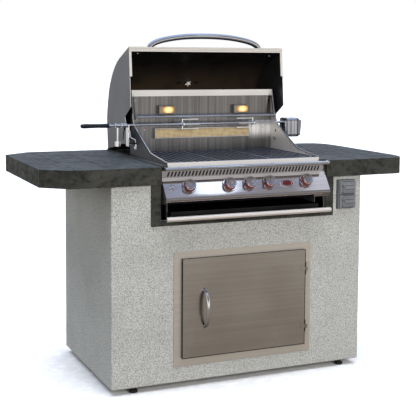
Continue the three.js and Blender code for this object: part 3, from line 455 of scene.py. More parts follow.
@dataclass(frozen=True)
class BrushedSteel(Finish):
    """Stainless sheet with long brush lines along one axis, faint smudges and a soft sheen."""

    colour: Colour = (0.56, 0.55, 0.53)
    shade: Colour = (0.43, 0.42, 0.405)
    along: Axis = Axis.X
    roughness: float = 0.26
    metallic: float = 1.0
    fine: ClassVar[float] = 700.0
    coarse: ClassVar[float] = 90.0
    depth: ClassVar[float] = 0.00001

    def mix(self, recipe: Recipe) -> None:
        """Fills the tree: brush lines, finer scratches and cloudy wear.

        Args:
            recipe: The tree to fill.
        """
        lines = recipe.noise(tuple(4.0 if part else self.fine for part in self.along.value), 1.0, 0.4)
        bands = recipe.noise(tuple(0.8 if part else self.coarse for part in self.along.value), 3.0, 0.55)
        smudges = recipe.noise(5.0, 3.0, 0.5)
        tone = bands.ramp(0.2, 0.8) * 0.75 + lines.ramp(0.25, 0.75) * 0.25
        recipe.set(
            base_color=recipe.blend(tone, self.shade, self.colour),
            metallic=self.metallic,
            roughness=smudges.ramp(0.3, 0.75, self.roughness - 0.03, self.roughness + 0.05),
        )
        recipe.relief(lines, self.depth, 0.1)


@dataclass(frozen=True)
class PaintedReflectionWall(BrushedSteel):
    """Brushed steel with a painted reflection: one lower corner painted bright in streaks, less metallic
    there.
    """

    # The colour of the painted reflection.
    painted_reflection: Colour = (1.0, 0.98, 0.95)
    left: float = 0.252
    bottom: float = 0.965
    top: float = 1.052
    fades: Point = (0.02, 0.05, 0.012)

    def mix(self, recipe: Recipe) -> None:
        """Fills the tree: the brushed sheet, with the painted reflection in the corner over it.

        Args:
            recipe: The tree to fill.
        """
        super().mix(recipe)
        sheet = recipe.base()
        streaks = recipe.noise((60.0, 60.0, 2.0), 3.0, 0.6)
        height = recipe.along(Axis.Z)
        fade_left, fade_bottom, fade_top = self.fades
        corner = recipe.along(Axis.X).ramp(self.left, self.left + fade_left)
        corner = corner * height.ramp(self.top, self.top + fade_top, 1.0, 0.0)
        corner = corner * height.ramp(self.bottom, self.bottom + fade_bottom)
        # Painted reflection: bright streaks inside the corner, less metallic where they lie.
        share = corner * streaks.ramp(0.3, 0.6, 0.65, 1.0)
        recipe.set(base_color=recipe.blend(share, sheet, self.painted_reflection), metallic=1.0 - share * 0.6)


@dataclass(frozen=True)
class Polished(Finish):
    """Polished metal with faint wiping marks."""

    colour: Colour = (0.75, 0.76, 0.78)
    roughness: float = 0.1

    def mix(self, recipe: Recipe) -> None:
        """Fills the tree: a bright metal, a little duller where it is wiped.

        Args:
            recipe: The tree to fill.
        """
        wiped = recipe.noise((8.0, 14.0, 14.0), 3.0, 0.5)
        tarnish = tuple(part * 0.82 for part in self.colour)
        recipe.set(
            base_color=recipe.blend(wiped.ramp(0.35, 0.8, 0.0, 0.5), self.colour, tarnish),
            metallic=1.0,
            roughness=wiped.ramp(0.3, 0.75, self.roughness - 0.02, self.roughness + 0.05),
        )


@dataclass(frozen=True)
class Enamel(Finish):
    """Baked enamel with an orange-peel surface and slight soot."""

    colour: Colour = (0.013, 0.0125, 0.012)
    soot: Colour = (0.006, 0.0055, 0.005)
    roughness: float = 0.35
    peel: float = 0.0003
    coat: float = 0.0

    def mix(self, recipe: Recipe) -> None:
        """Fills the tree: peel, and soot in clouds.

        Args:
            recipe: The tree to fill.
        """
        peel = recipe.noise(320.0, 2.0, 0.4)
        clouds = recipe.noise(9.0, 4.0, 0.6)
        recipe.set(
            base_color=recipe.blend(clouds.ramp(0.4, 0.75), self.colour, self.soot),
            roughness=clouds.ramp(0.3, 0.7, self.roughness - 0.06, self.roughness + 0.18),
            coat_weight=self.coat,
            specular_ior_level=0.3,
        )
        recipe.relief(peel, self.peel, 0.5)


@dataclass(frozen=True)
class HeatedEnamel(Enamel):
    """Baked enamel that cooking has browned at its lower end."""

    browned: Colour = (0.044, 0.03, 0.019)
    low: float = 1.2
    high: float = 1.34

    def mix(self, recipe: Recipe) -> None:
        """Fills the tree: the enamel, browner towards its lower end.

        Args:
            recipe: The tree to fill.
        """
        super().mix(recipe)
        enamel = recipe.base()
        clouds = recipe.noise(7.0, 3.0, 0.5)
        heat = recipe.along(Axis.Z).ramp(self.low, self.high, 1.0, 0.0) * clouds.ramp(0.25, 0.6, 0.35, 1.0)
        recipe.set(base_color=recipe.blend(heat, enamel, self.browned))


@dataclass(frozen=True)
class Moulded(Finish):
    """Moulded plastic or rubber with a fine spark texture."""

    colour: Colour = (0.18, 0.19, 0.205)
    roughness: float = 0.5
    grain: float = 0.00015

    def mix(self, recipe: Recipe) -> None:
        """Fills the tree: grain, and a chalky bloom in places.

        Args:
            recipe: The tree to fill.
        """
        grain = recipe.noise(1500.0, 2.0, 0.6)
        bloom = recipe.noise(22.0, 4.0, 0.6)
        chalky = tuple(part * 1.35 + 0.004 for part in self.colour)
        recipe.set(
            base_color=recipe.blend(bloom.ramp(0.4, 0.8, 0.0, 0.6), self.colour, chalky),
            roughness=grain.ramp(0.3, 0.7, self.roughness - 0.06, self.roughness + 0.1),
        )
        recipe.relief(grain, self.grain, 0.6)


@dataclass(frozen=True)
class Zinc(Finish):
    """Galvanised steel with its crystal spangle."""

    colour: Colour = (0.34, 0.36, 0.37)
    dull: Colour = (0.22, 0.235, 0.245)

    def mix(self, recipe: Recipe) -> None:
        """Fills the tree: spangles of two tones.

        Args:
            recipe: The tree to fill.
        """
        spangle = recipe.cells(75.0)
        streaks = recipe.noise((12.0, 12.0, 40.0), 3.0, 0.6)
        recipe.set(
            base_color=recipe.blend(spangle.ramp(0.1, 0.6), self.colour, self.dull),
            metallic=0.7,
            roughness=streaks.ramp(0.3, 0.7, 0.42, 0.62),
        )


@dataclass(frozen=True)
class BurnerCeramic(Finish):
    """Porous burner plate: cream ceramic with rows of small flame holes."""

    cream: Colour = (0.66, 0.53, 0.31)
    burnt: Colour = (0.46, 0.31, 0.15)
    hole: Colour = (0.26, 0.17, 0.085)
    pitch: float = 0.006
    depth: float = 0.0008

    def mix(self, recipe: Recipe) -> None:
        """Fills the tree: a grid of holes, and scorching in clouds.

        Args:
            recipe: The tree to fill.
        """
        across = (recipe.along(Axis.X) / self.pitch).wrapped(1.0) - 0.5
        upward = (recipe.along(Axis.Z) / self.pitch).wrapped(1.0) - 0.5
        distance = (across * across + upward * upward).power(0.5)
        holes = distance.ramp(0.2, 0.34, 1.0, 0.0)
        scorch = recipe.noise(40.0, 4.0, 0.6)
        body = recipe.blend(scorch.ramp(0.42, 0.75, 0.0, 0.75), self.cream, self.burnt)
        recipe.set(base_color=recipe.blend(holes, body, self.hole), roughness=0.9)
        recipe.relief(1.0 - holes, self.depth)


@dataclass(frozen=True)
class LitLens(Finish):
    """A lit warm lamp lens, brightest near the bulb."""

    bulb: Point = (0.0, 0.0, 0.0)
    reach: float = 0.036
    edge: Colour = (0.16, 0.11, 0.06)
    warm: Colour = (0.72, 0.42, 0.14)
    white: Colour = (1.0, 0.84, 0.52)
    power: float = 0.95
    depth: float = 0.0012

    def mix(self, recipe: Recipe) -> None:
        """Fills the tree: a glow that falls off from the bulb, through crinkled glass.

        Args:
            recipe: The tree to fill.
        """
        crinkle = recipe.noise(210.0, 3.0, 0.65)
        across = recipe.along(Axis.X) - self.bulb[0]
        upward = recipe.along(Axis.Z) - self.bulb[2]
        distance = (across * across + upward * upward * 1.8).power(0.5) + (crinkle - 0.5) * 0.02
        glow = distance.ramp(0.0, self.reach, 1.0, 0.0) * crinkle.ramp(0.35, 0.6, 0.55, 1.15)
        halo = recipe.blend(glow.ramp(0.05, 0.6), self.edge, self.warm)
        lit = recipe.blend(glow.ramp(0.55, 0.95), halo, self.white)
        recipe.set(base_color=halo, roughness=0.15, emission_color=lit, emission_strength=self.power)
        recipe.relief(crinkle, self.depth, 0.6)


# Modelling


class Shape:
    """A mesh that is modelled with bmesh operators."""

    def __init__(self) -> None:
        """Starts an empty mesh with one finish."""
        self.mesh = bmesh.new()
        self.others: list[Finish] = []

    @classmethod
    def of_node(cls, node: str) -> "Shape":
        """Copies a CAD node, with its triangles joined and its flat faces whole.

        Args:
            node: The node's name.

        Returns:
            The copy.
        """
        made = cls()
        made.mesh.from_mesh(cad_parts[node].data)
        bmesh.ops.remove_doubles(made.mesh, verts=made.mesh.verts, dist=NODE_WELD)
        bmesh.ops.dissolve_limit(
            made.mesh, angle_limit=math.radians(FLAT), verts=made.mesh.verts, edges=made.mesh.edges
        )
        return made

    @classmethod
    def box(cls, low: Point, high: Point) -> "Shape":
        """Makes a box between two corners.

        Args:
            low: The lowest corner.
            high: The highest corner.

        Returns:
            The box.
        """
        made = cls()
        bmesh.ops.create_cube(made.mesh, size=1.0)
        size = [top - bottom for bottom, top in zip(low, high)]
        middle = [(top + bottom) / 2 for bottom, top in zip(low, high)]
        return made.moved(Matrix.Translation(middle) @ Matrix.Diagonal((*size, 1.0)))

    @classmethod
    def turned(cls, profile: Line, place: Matrix, steps: int = 48) -> "Shape":
        """Spins a profile about the Z axis of a place.

        Args:
            profile: The radius and height of each point, bottom to top.
            place: The place of the axis.
            steps: The steps of the full turn.

        Returns:
            The turned shape.
        """
        made = cls()
        points = [made.mesh.verts.new((radius, 0.0, height)) for radius, height in profile]
        edges = [made.mesh.edges.new(pair) for pair in zip(points, points[1:])]
        bmesh.ops.spin(
            made.mesh, geom=points + edges, axis=(0.0, 0.0, 1.0), cent=(0.0, 0.0, 0.0),
            angle=math.tau, steps=steps, use_merge=True,
        )
        bmesh.ops.remove_doubles(made.mesh, verts=made.mesh.verts, dist=AXIS_WELD)
        made.outward()
        return made.moved(place)

    @classmethod
    def swept(cls, path: Sequence[Vector], radius: float, sides: int = 20) -> "Shape":
        """Draws a round section along a path.

        Args:
            path: The points of the path.
            radius: The section's radius.
            sides: The section's sides.

        Returns:
            The closed tube.
        """
        made = cls()
        tangents = [
            (path[min(i + 1, len(path) - 1)] - path[max(i - 1, 0)]).normalized() for i in range(len(path))
        ]
        facing = Vector((0.0, 0.0, 1.0)).rotation_difference(tangents[0]).to_matrix().to_4x4()
        ring = bmesh.ops.create_circle(
            made.mesh, cap_ends=False, radius=radius, segments=sides,
            matrix=Matrix.Translation(path[0]) @ facing,
        )["verts"]
        edges = list(dict.fromkeys(edge for vert in ring for edge in vert.link_edges))
        bmesh.ops.edgeloop_fill(made.mesh, edges=edges)
        for i in range(1, len(path)):
            grown = bmesh.ops.extrude_edge_only(made.mesh, edges=edges)["geom"]
            ring = [part for part in grown if isinstance(part, bmesh.types.BMVert)]
            edges = [part for part in grown if isinstance(part, bmesh.types.BMEdge)]
            turn = tangents[i - 1].rotation_difference(tangents[i]).to_matrix()
            bmesh.ops.translate(made.mesh, verts=ring, vec=path[i] - path[i - 1])
            bmesh.ops.rotate(made.mesh, verts=ring, cent=path[i], matrix=turn)
        bmesh.ops.edgeloop_fill(made.mesh, edges=edges)
        made.outward()
        return made

    @classmethod
    def cut_out(cls, outline: Line, depth: float, place: Matrix) -> "Shape":
        """Extrudes a flat outline along the Z axis of a place.

        Args:
            outline: The outline's points.
            depth: How far it is extruded.
            place: The place of the outline.

        Returns:
            The solid.
        """
        made = cls()
        face = made.mesh.faces.new([made.mesh.verts.new((x, y, 0.0)) for x, y in outline])
        grown = bmesh.ops.extrude_face_region(made.mesh, geom=[face], use_keep_orig=True)["geom"]
        top = [part for part in grown if isinstance(part, bmesh.types.BMVert)]
        bmesh.ops.translate(made.mesh, verts=top, vec=(0.0, 0.0, depth))
        made.outward()
        return made.moved(place)

    @classmethod
    def studs(cls, profile: Line, places: Iterable[Matrix], steps: int = 16) -> "Shape":
        """Turns one profile at several places.

        Args:
            profile: The radius and height of each point, bottom to top.
            places: The places of the axes.
            steps: The steps of each full turn.

        Returns:
            The turned shapes as one.
        """
        made = cls()
        for place in places:
            made.with_shape(cls.turned(profile, place, steps))
        return made

    @classmethod
    def bars(cls, corners: Iterable[tuple[Point, Point]], width: float, segments: int) -> "Shape":
        """Boxes with eased edges.

        Args:
            corners: The lowest and highest corner of each box.
            width: The bevel's width.
            segments: The bevel's steps.

        Returns:
            The boxes as one shape.
        """
        made = cls()
        for low, high in corners:
            made.with_shape(cls.box(low, high).eased(width, segments))
        return made

    def outward(self) -> None:
        """Turns every face outward."""
        bmesh.ops.recalc_face_normals(self.mesh, faces=self.mesh.faces)

    def moved(self, place: Matrix) -> "Shape":
        """Moves the shape and gives it back."""
        bmesh.ops.transform(self.mesh, matrix=place, verts=self.mesh.verts)
        return self

    def with_shape(self, other: "Shape") -> "Shape":
        """Adds another shape's mesh to this one and frees the other.

        Args:
            other: The shape to add.

        Returns:
            The shape itself.
        """
        spare = bpy.data.meshes.new("spare")
        other.mesh.to_mesh(spare)
        other.mesh.free()
        self.mesh.from_mesh(spare)
        bpy.data.meshes.remove(spare)
        return self

    def eased(self, width: float, segments: int = 2, angle: float = BEVELLED) -> "Shape":
        """Bevels the edges that are sharper than an angle.

        Args:
            width: The bevel's width.
            segments: Its steps.
            angle: The lowest angle between faces, in degrees.

        Returns:
            The shape itself.
        """
        limit = math.radians(angle)
        edges = [
            edge for edge in self.mesh.edges
            if edge.is_manifold and edge.calc_face_angle(0.0) > limit
        ]
        bmesh.ops.bevel(
            self.mesh, geom=edges, offset=width, offset_type="OFFSET", segments=segments, profile=0.5,
            affect="EDGES", clamp_overlap=True, material=-1,
        )
        return self

    def split(self, place: Point, normal: Point) -> "Shape":
        """Cuts the faces along a plane, with both sides kept.

        Args:
            place: A point of the plane.
            normal: The plane's normal.

        Returns:
            The shape itself.
        """
        parts = [*self.mesh.verts, *self.mesh.edges, *self.mesh.faces]
        bmesh.ops.bisect_plane(self.mesh, geom=parts, dist=PLANE_WELD, plane_co=place, plane_no=normal)
        return self

    def dressed(self, finish: Finish, where: FaceTest) -> "Shape":
        """Gives some faces another finish.

        Args:
            finish: The finish.
            where: Which faces, by their middle and their normal.

        Returns:
            The shape itself.
        """
        self.others.append(finish)
        for face in self.mesh.faces:
            if where(face.calc_center_median(), face.normal):
                face.material_index = len(self.others)
        return self

    def weighted_normals(self, smooth: float) -> list[Vector]:
        """Gives each face corner the mean normal of the faces round it, by their size.

        Args:
            smooth: The angle in degrees above which faces don't share a normal.

        Returns:
            One normal for each corner, so that wide flat faces stay flat beside a bevel.
        """
        self.mesh.normal_update()
        limit = math.cos(math.radians(smooth))
        weighted = {face: face.normal * face.calc_area() for face in self.mesh.faces}
        normals = []
        for face in self.mesh.faces:
            for loop in face.loops:
                near = [
                    weighted[other] for other in loop.vert.link_faces if other.normal.dot(face.normal) > limit
                ]
                normals.append(sum(near, Vector()).normalized() if near else face.normal.copy())
        return normals

    def placed(self, name: str, finish: Finish, smooth: float = SHARP) -> bpy.types.Object:
        """Ends the modelling and gives the piece.

        Args:
            name: The piece's name.
            finish: Its finish.
            smooth: The angle in degrees above which an edge stays sharp.

        Returns:
            The piece, at the origin, with its place in its mesh.
        """
        for face in self.mesh.faces:
            face.smooth = True
        for edge in self.mesh.edges:
            edge.smooth = edge.calc_face_angle(math.pi) < math.radians(smooth)
        normals = self.weighted_normals(smooth)
        data = bpy.data.meshes.new(name)
        self.mesh.to_mesh(data)
        data.normals_split_custom_set(normals)
        self.mesh.free()
        for each in (finish, *self.others):
            data.materials.append(each.make())
        made = bpy.data.objects.new(name, data)
        bpy.context.scene.collection.objects.link(made)
        return made


def smooth_path(points: Sequence[Point], steps: int) -> list[Vector]:
    """Rounds a path through its points.

    Args:
        points: The points to pass through.
        steps: Steps between two points.

    Returns:
        The finer path.
    """
    knots = [Vector(point) for point in points]
    knots = [knots[0] * 2 - knots[1], *knots, knots[-1] * 2 - knots[-2]]
    path = []
    for before, start, end, after in zip(knots, knots[1:], knots[2:], knots[3:]):
        for step in range(steps):
            t = step / steps
            twice = start * 2 + (end - before) * t + (before * 2 - start * 5 + end * 4 - after) * t * t
            path.append((twice + (start * 3 - before - end * 3 + after) * t * t * t) / 2)
    return [*path, knots[-2]]


@dataclass
class Assembly:
    """A sub-assembly of the island: its sizes, its pieces and their finishes."""

    def build(self) -> None:
        """Models and dresses the pieces."""
        raise NotImplementedError

    def add(
        self, name: str, shape: Shape, finish: Finish, *nodes: str, body: Body = Body.ISLAND,
        smooth: float = SHARP,
    ) -> bpy.types.Object:
        """Adds one piece.

        Args:
            name: The piece's name.
            shape: Its shape.
            finish: Its finish.
            nodes: The CAD nodes that it stands for.
            body: The body that it rides on.
            smooth: The angle above which an edge stays sharp.

        Returns:
            The piece.
        """
        piece = shape.placed(name, finish, smooth)
        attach(piece, body.value)
        if nodes:
            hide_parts(*nodes)
        log.info("piece %s: %d faces", name, len(piece.data.polygons))
        return piece

    def recut(
        self, node: str, finish: Finish, width: float = 0.0, segments: int = 2,
        body: Body = Body.ISLAND, smooth: float = SHARP, accents: Sequence[tuple[Finish, FaceTest]] = (),
    ) -> bpy.types.Object:
        """Stands a copy of a node with eased edges in for it.

        Args:
            node: The node.
            finish: Its finish.
            width: The width of the bevel on its edges.
            segments: The bevel's steps.
            body: The body that it rides on.
            smooth: The angle above which an edge stays sharp.
            accents: Other finishes, each with the faces that take it.

        Returns:
            The piece.
        """
        shape = Shape.of_node(node)
        if width:
            shape.eased(width, segments)
        for accent, where in accents:
            shape.dressed(accent, where)
        return self.add(f"{node}_finished", shape, finish, node, body=body, smooth=smooth)


# Sub-assemblies


@dataclass
class StuccoBase(Assembly):
    """The stucco walls on their steel frame, the cabinet floor and the levelling feet."""

    corner: float = 0.005
    pad_radius: float = 0.0185
    nut_radius: float = 0.009
    nut_below: float = 0.0305
    stem_radius: float = 0.005
    thread_pitch: float = 0.0025
    thread_depth: float = 0.0007
    wall: Finish = Stucco("stucco")
    steel: Finish = Zinc("zinc_steel")
    rubber: Finish = Moulded("foot_black", (0.012, 0.012, 0.013), 0.6)

    def build(self) -> None:
        """Models the walls with rounded corners, the frame, the floor and the feet."""
        self.recut("stucco_shell", self.wall, self.corner, 3)
        self.recut("base_frame", self.steel, 0.0015, 2)
        self.recut("cabinet_floor", self.steel, 0.001, 1)
        for end in ("front_left", "rear_left", "front_right", "rear_right"):
            self.add(f"foot_{end}_turned", self.foot(f"foot_{end}"), self.rubber, f"foot_{end}")

    def foot(self, node: str) -> Shape:
        """Turns one levelling foot.

        Args:
            node: The foot's CAD node.

        Returns:
            The pad, its jam nut and its threaded stem.
        """
        low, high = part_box(node)
        middle, rise = (low + high) / 2, high.z - low.z
        pad, nut, stem, pitch = self.pad_radius, self.nut_radius, self.stem_radius, self.thread_pitch
        profile = [(0.0, 0.0), (pad - 0.002, 0.0), (pad, 0.002), (pad, 0.009), (pad - 0.003, 0.012),
                   (nut, 0.012), (nut, rise - self.nut_below), (stem, rise - self.nut_below + 0.001)]
        height = rise - self.nut_below + 0.0015
        while height < rise - pitch:
            profile += [(stem - self.thread_depth, height + pitch / 2), (stem, height + pitch)]
            height += pitch
        return Shape.turned([*profile, (0.0, rise)], at(middle.x, middle.y, low.z), 36)


@dataclass(frozen=True)
class CounterTile(StoneTile):
    """Stone tile with grouted joints at places along the island."""

    joints: tuple[float, ...] = (-0.69, -0.555, 0.56, 0.69)
    cross_joints: tuple[float, ...] = (-0.045,)
    half_joint: float = 0.0018
    joint_depth: float = 0.0012
    waver: float = 0.0012
    grout: Colour = (0.012, 0.012, 0.012)

    def mix(self, recipe: Recipe) -> None:
        """Fills the tree: the stone, and joints cut into it.

        Args:
            recipe: The tree to fill.
        """
        super().mix(recipe)
        stone = recipe.base()
        wobble = recipe.noise(60.0, 2.0, 0.5) * self.waver
        gap: Number = 1.0
        for axis, places in ((Axis.X, self.joints), (Axis.Y, self.cross_joints)):
            for place in places:
                gap = ((recipe.along(axis) + wobble) - place).size().lowest(gap)
        line = gap.ramp(self.half_joint * 0.6, self.half_joint * 1.5, 1.0, 0.0)
        recipe.set(base_color=recipe.blend(line * 0.9, stone, self.grout))
        grit = recipe.noise(420.0, 3.0, 0.7)
        recipe.relief((1.0 - line) + grit * 0.25, self.joint_depth)


@dataclass
class Counter(Assembly):
    """The tiled counter with its hanging edge, and the tiled surround of the grill."""

    arris: float = 0.0035
    top: Finish = CounterTile("counter_tile")
    edge: Finish = StoneTile(
        "surround_tile", (0.03, 0.031, 0.027), (0.058, 0.058, 0.051), (0.12, 0.12, 0.105),
        (0.011, 0.011, 0.009), 0.66, 0.0014,
    )
    top_thick: float = 0.01

    def build(self) -> None:
        """Models the counter with eased arrises, and the surround."""
        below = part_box("countertop")[1].z - self.top_thick
        hanging = (self.edge, lambda middle, normal: abs(normal.z) < 0.6 or middle.z < below)
        self.recut("countertop", self.top, self.arris, 3, accents=[hanging])
        self.recut("grill_surround", self.edge, 0.002, 2)


@dataclass
class AccessDoor(Assembly):
    """The framed door of the cabinet, its two barrel hinges and its bow handle."""

    reveal: float = 0.0034
    face_depth: float = 0.012
    barrel: float = 0.0104
    panel: Finish = BrushedSteel("door_steel", (0.58, 0.55, 0.505), (0.5, 0.475, 0.435), Axis.X, 0.24)
    frame: Finish = BrushedSteel("frame_steel", (0.72, 0.67, 0.61), (0.62, 0.58, 0.52), Axis.X, 0.36, 0.75)
    bright: Finish = Polished("chrome", (0.8, 0.8, 0.82), 0.08)
    # Near-black chrome for the back of the door handle: painted shade.
    handle_back_shade: Finish = Polished("chrome", (0.03, 0.03, 0.032), 0.2)
    shadow: Finish = Moulded("door_steel", (0.008, 0.008, 0.008), 0.7)

    def build(self) -> None:
        """Models the door with its dark rim, its frame, the hinges and the handle."""
        self.recut("door_frame", self.frame, 0.0012, 2)
        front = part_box("access_door")[0].y + self.face_depth
        leaf = Shape.of_node("access_door")
        outer = max(leaf.mesh.faces, key=lambda face: face.calc_area() * (face.normal.y < -FACING))
        level = outer.calc_center_median().y - self.reveal / 2
        right = max(vert.co.x for vert in outer.verts) - self.reveal
        bottom = min(vert.co.z for vert in outer.verts) + self.reveal
        leaf.split((right, 0.0, 0.0), Axis.X.value).split((0.0, 0.0, bottom), Axis.Z.value).eased(0.0009, 2)
        leaf.dressed(self.shadow, lambda middle, normal: abs(normal.y) < 0.3 and middle.y > front)
        leaf.dressed(
            self.shadow, lambda middle, normal: middle.y > level and (middle.x > right or middle.z < bottom)
        )
        self.add("access_door_finished", leaf, self.panel, "access_door", body=Body.DOOR)
        for node in ("door_hinge_lower", "door_hinge_upper"):
            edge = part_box(node)[1].x - self.barrel
            barrel = (self.shadow, lambda middle, normal: middle.x > edge)
            self.recut(node, self.frame, 0.0004, 1, accents=[barrel])
        # Painted shade: the handle's faces towards the door are near-black.
        back = (self.handle_back_shade, lambda middle, normal: normal.y > 0.25)
        self.recut("door_handle", self.bright, body=Body.DOOR, smooth=SHARP_ON_BARS, accents=[back])


@dataclass
class Outlet(Assembly):
    """The weatherproof outlet: its box, cover plate and two spring lids."""

    shell: Finish = Moulded("grey_plastic", (0.165, 0.174, 0.188), 0.42)
    dark: Finish = Moulded("black_plastic", (0.012, 0.012, 0.013), 0.6)
    # Dark grey for the lids' bead and ridges: painted shade lines.
    groove_shade: Finish = Moulded("grey_plastic", (0.05, 0.054, 0.06), 0.5)
    tongue_half: float = 0.0085
    tongue_ends: tuple[float, float] = (0.022, 0.01)
    bead_radius: float = 0.0013
    ridge_start: float = 0.016
    ridge_inset: float = 0.0028
    ridge_half: float = 0.0009
    gasket_edge: float = 0.0016
    gasket_thick: float = 0.0022
    pin_offset: float = 0.0135
    pin_shares: tuple[float, ...] = (0.12, 0.6)
    pin_line: Line = ((0.0, -0.0004), (0.0026, -0.0004), (0.0022, 0.0007), (0.0, 0.001))

    def build(self) -> None:
        """Models the box, the plate on its gasket, and the lids with their tongues and pins."""
        self.recut("outlet_box", self.shell, 0.0004, 1)
        self.recut("outlet_cover", self.shell, 0.0012, 2)
        for node, body in (("outlet_lid_lower", Body.LOWER_LID), ("outlet_lid_upper", Body.UPPER_LID)):
            self.recut(node, self.shell, 0.0014, 3, body=body)
            # The bead and the ridges are dark grey as painted shade lines.
            self.add(f"{node}_tongue", self.tongue(node), self.groove_shade, body=body)
            self.add(f"{node}_pins", self.pins(node), self.dark, body=body)
        low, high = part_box("outlet_cover")
        edge = self.gasket_edge
        gasket = Shape.box(
            (low.x - edge, high.y - self.gasket_thick, low.z - edge),
            (high.x + edge, high.y + 0.0002, high.z + edge),
        )
        self.add("outlet_gasket", gasket.eased(0.0006, 2), self.dark)

    def tongue(self, node: str) -> Shape:
        """Raises a long U-shaped bead on a lid's face, and a ridge at its upper and lower edge.

        Args:
            node: The lid's CAD node.

        Returns:
            The bead and the ridges, set slightly into the lid.
        """
        low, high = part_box(node)
        middle, half, thick = (low.z + high.z) / 2, self.tongue_half, self.ridge_half
        left, right = low.x + self.tongue_ends[0], high.x - self.tongue_ends[1]
        turns = [math.radians(-90 + 20 * step) for step in range(10)]
        bend = [(left + half * (1 - math.cos(turn)), middle + half * math.sin(turn)) for turn in turns]
        line = [(right, middle - half), *bend, (right, middle + half)]
        raised = Shape.swept([Vector((x, low.y, z)) for x, z in line], self.bead_radius, 10)
        ridges = [
            ((low.x + self.ridge_start, low.y - 0.0006, z - thick), (right, low.y + 0.001, z + thick))
            for z in (low.z + self.ridge_inset, high.z - self.ridge_inset)
        ]
        return raised.with_shape(Shape.bars(ridges, 0.0003, 1))

    def pins(self, node: str) -> Shape:
        """Sets two dark pins beside a lid's hinge.

        Args:
            node: The lid's CAD node.

        Returns:
            The pins' heads.
        """
        low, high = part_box(node)
        heights = [low.z + share * (high.z - low.z) for share in self.pin_shares]
        places = [at(low.x + self.pin_offset, low.y, height) @ turned_by(90, Axis.X) for height in heights]
        return Shape.studs(self.pin_line, places)


@dataclass
class PanelFrame:
    """The slanted panel's own frame: along the island, up its slope and outwards."""

    lip: tuple[float, float] = (-0.403, 0.785)
    top: tuple[float, float] = (-0.3453, 0.868)

    def place(self, x: float, share: float, lift: float = 0.0) -> Matrix:
        """The place of something on the panel.

        Args:
            x: The place along the island.
            share: The share of the way up the slope.
            lift: How far it stands out.

        Returns:
            A matrix with Z outwards and Y up the slope.
        """
        rise = Vector((0.0, self.top[0] - self.lip[0], self.top[1] - self.lip[1]))
        up = rise.normalized()
        across = Vector(Axis.X.value)
        out = across.cross(up)
        start = Vector((x, *self.lip)) + rise * share + out * lift
        return Matrix.Translation(start) @ laid_along(across, up, out)


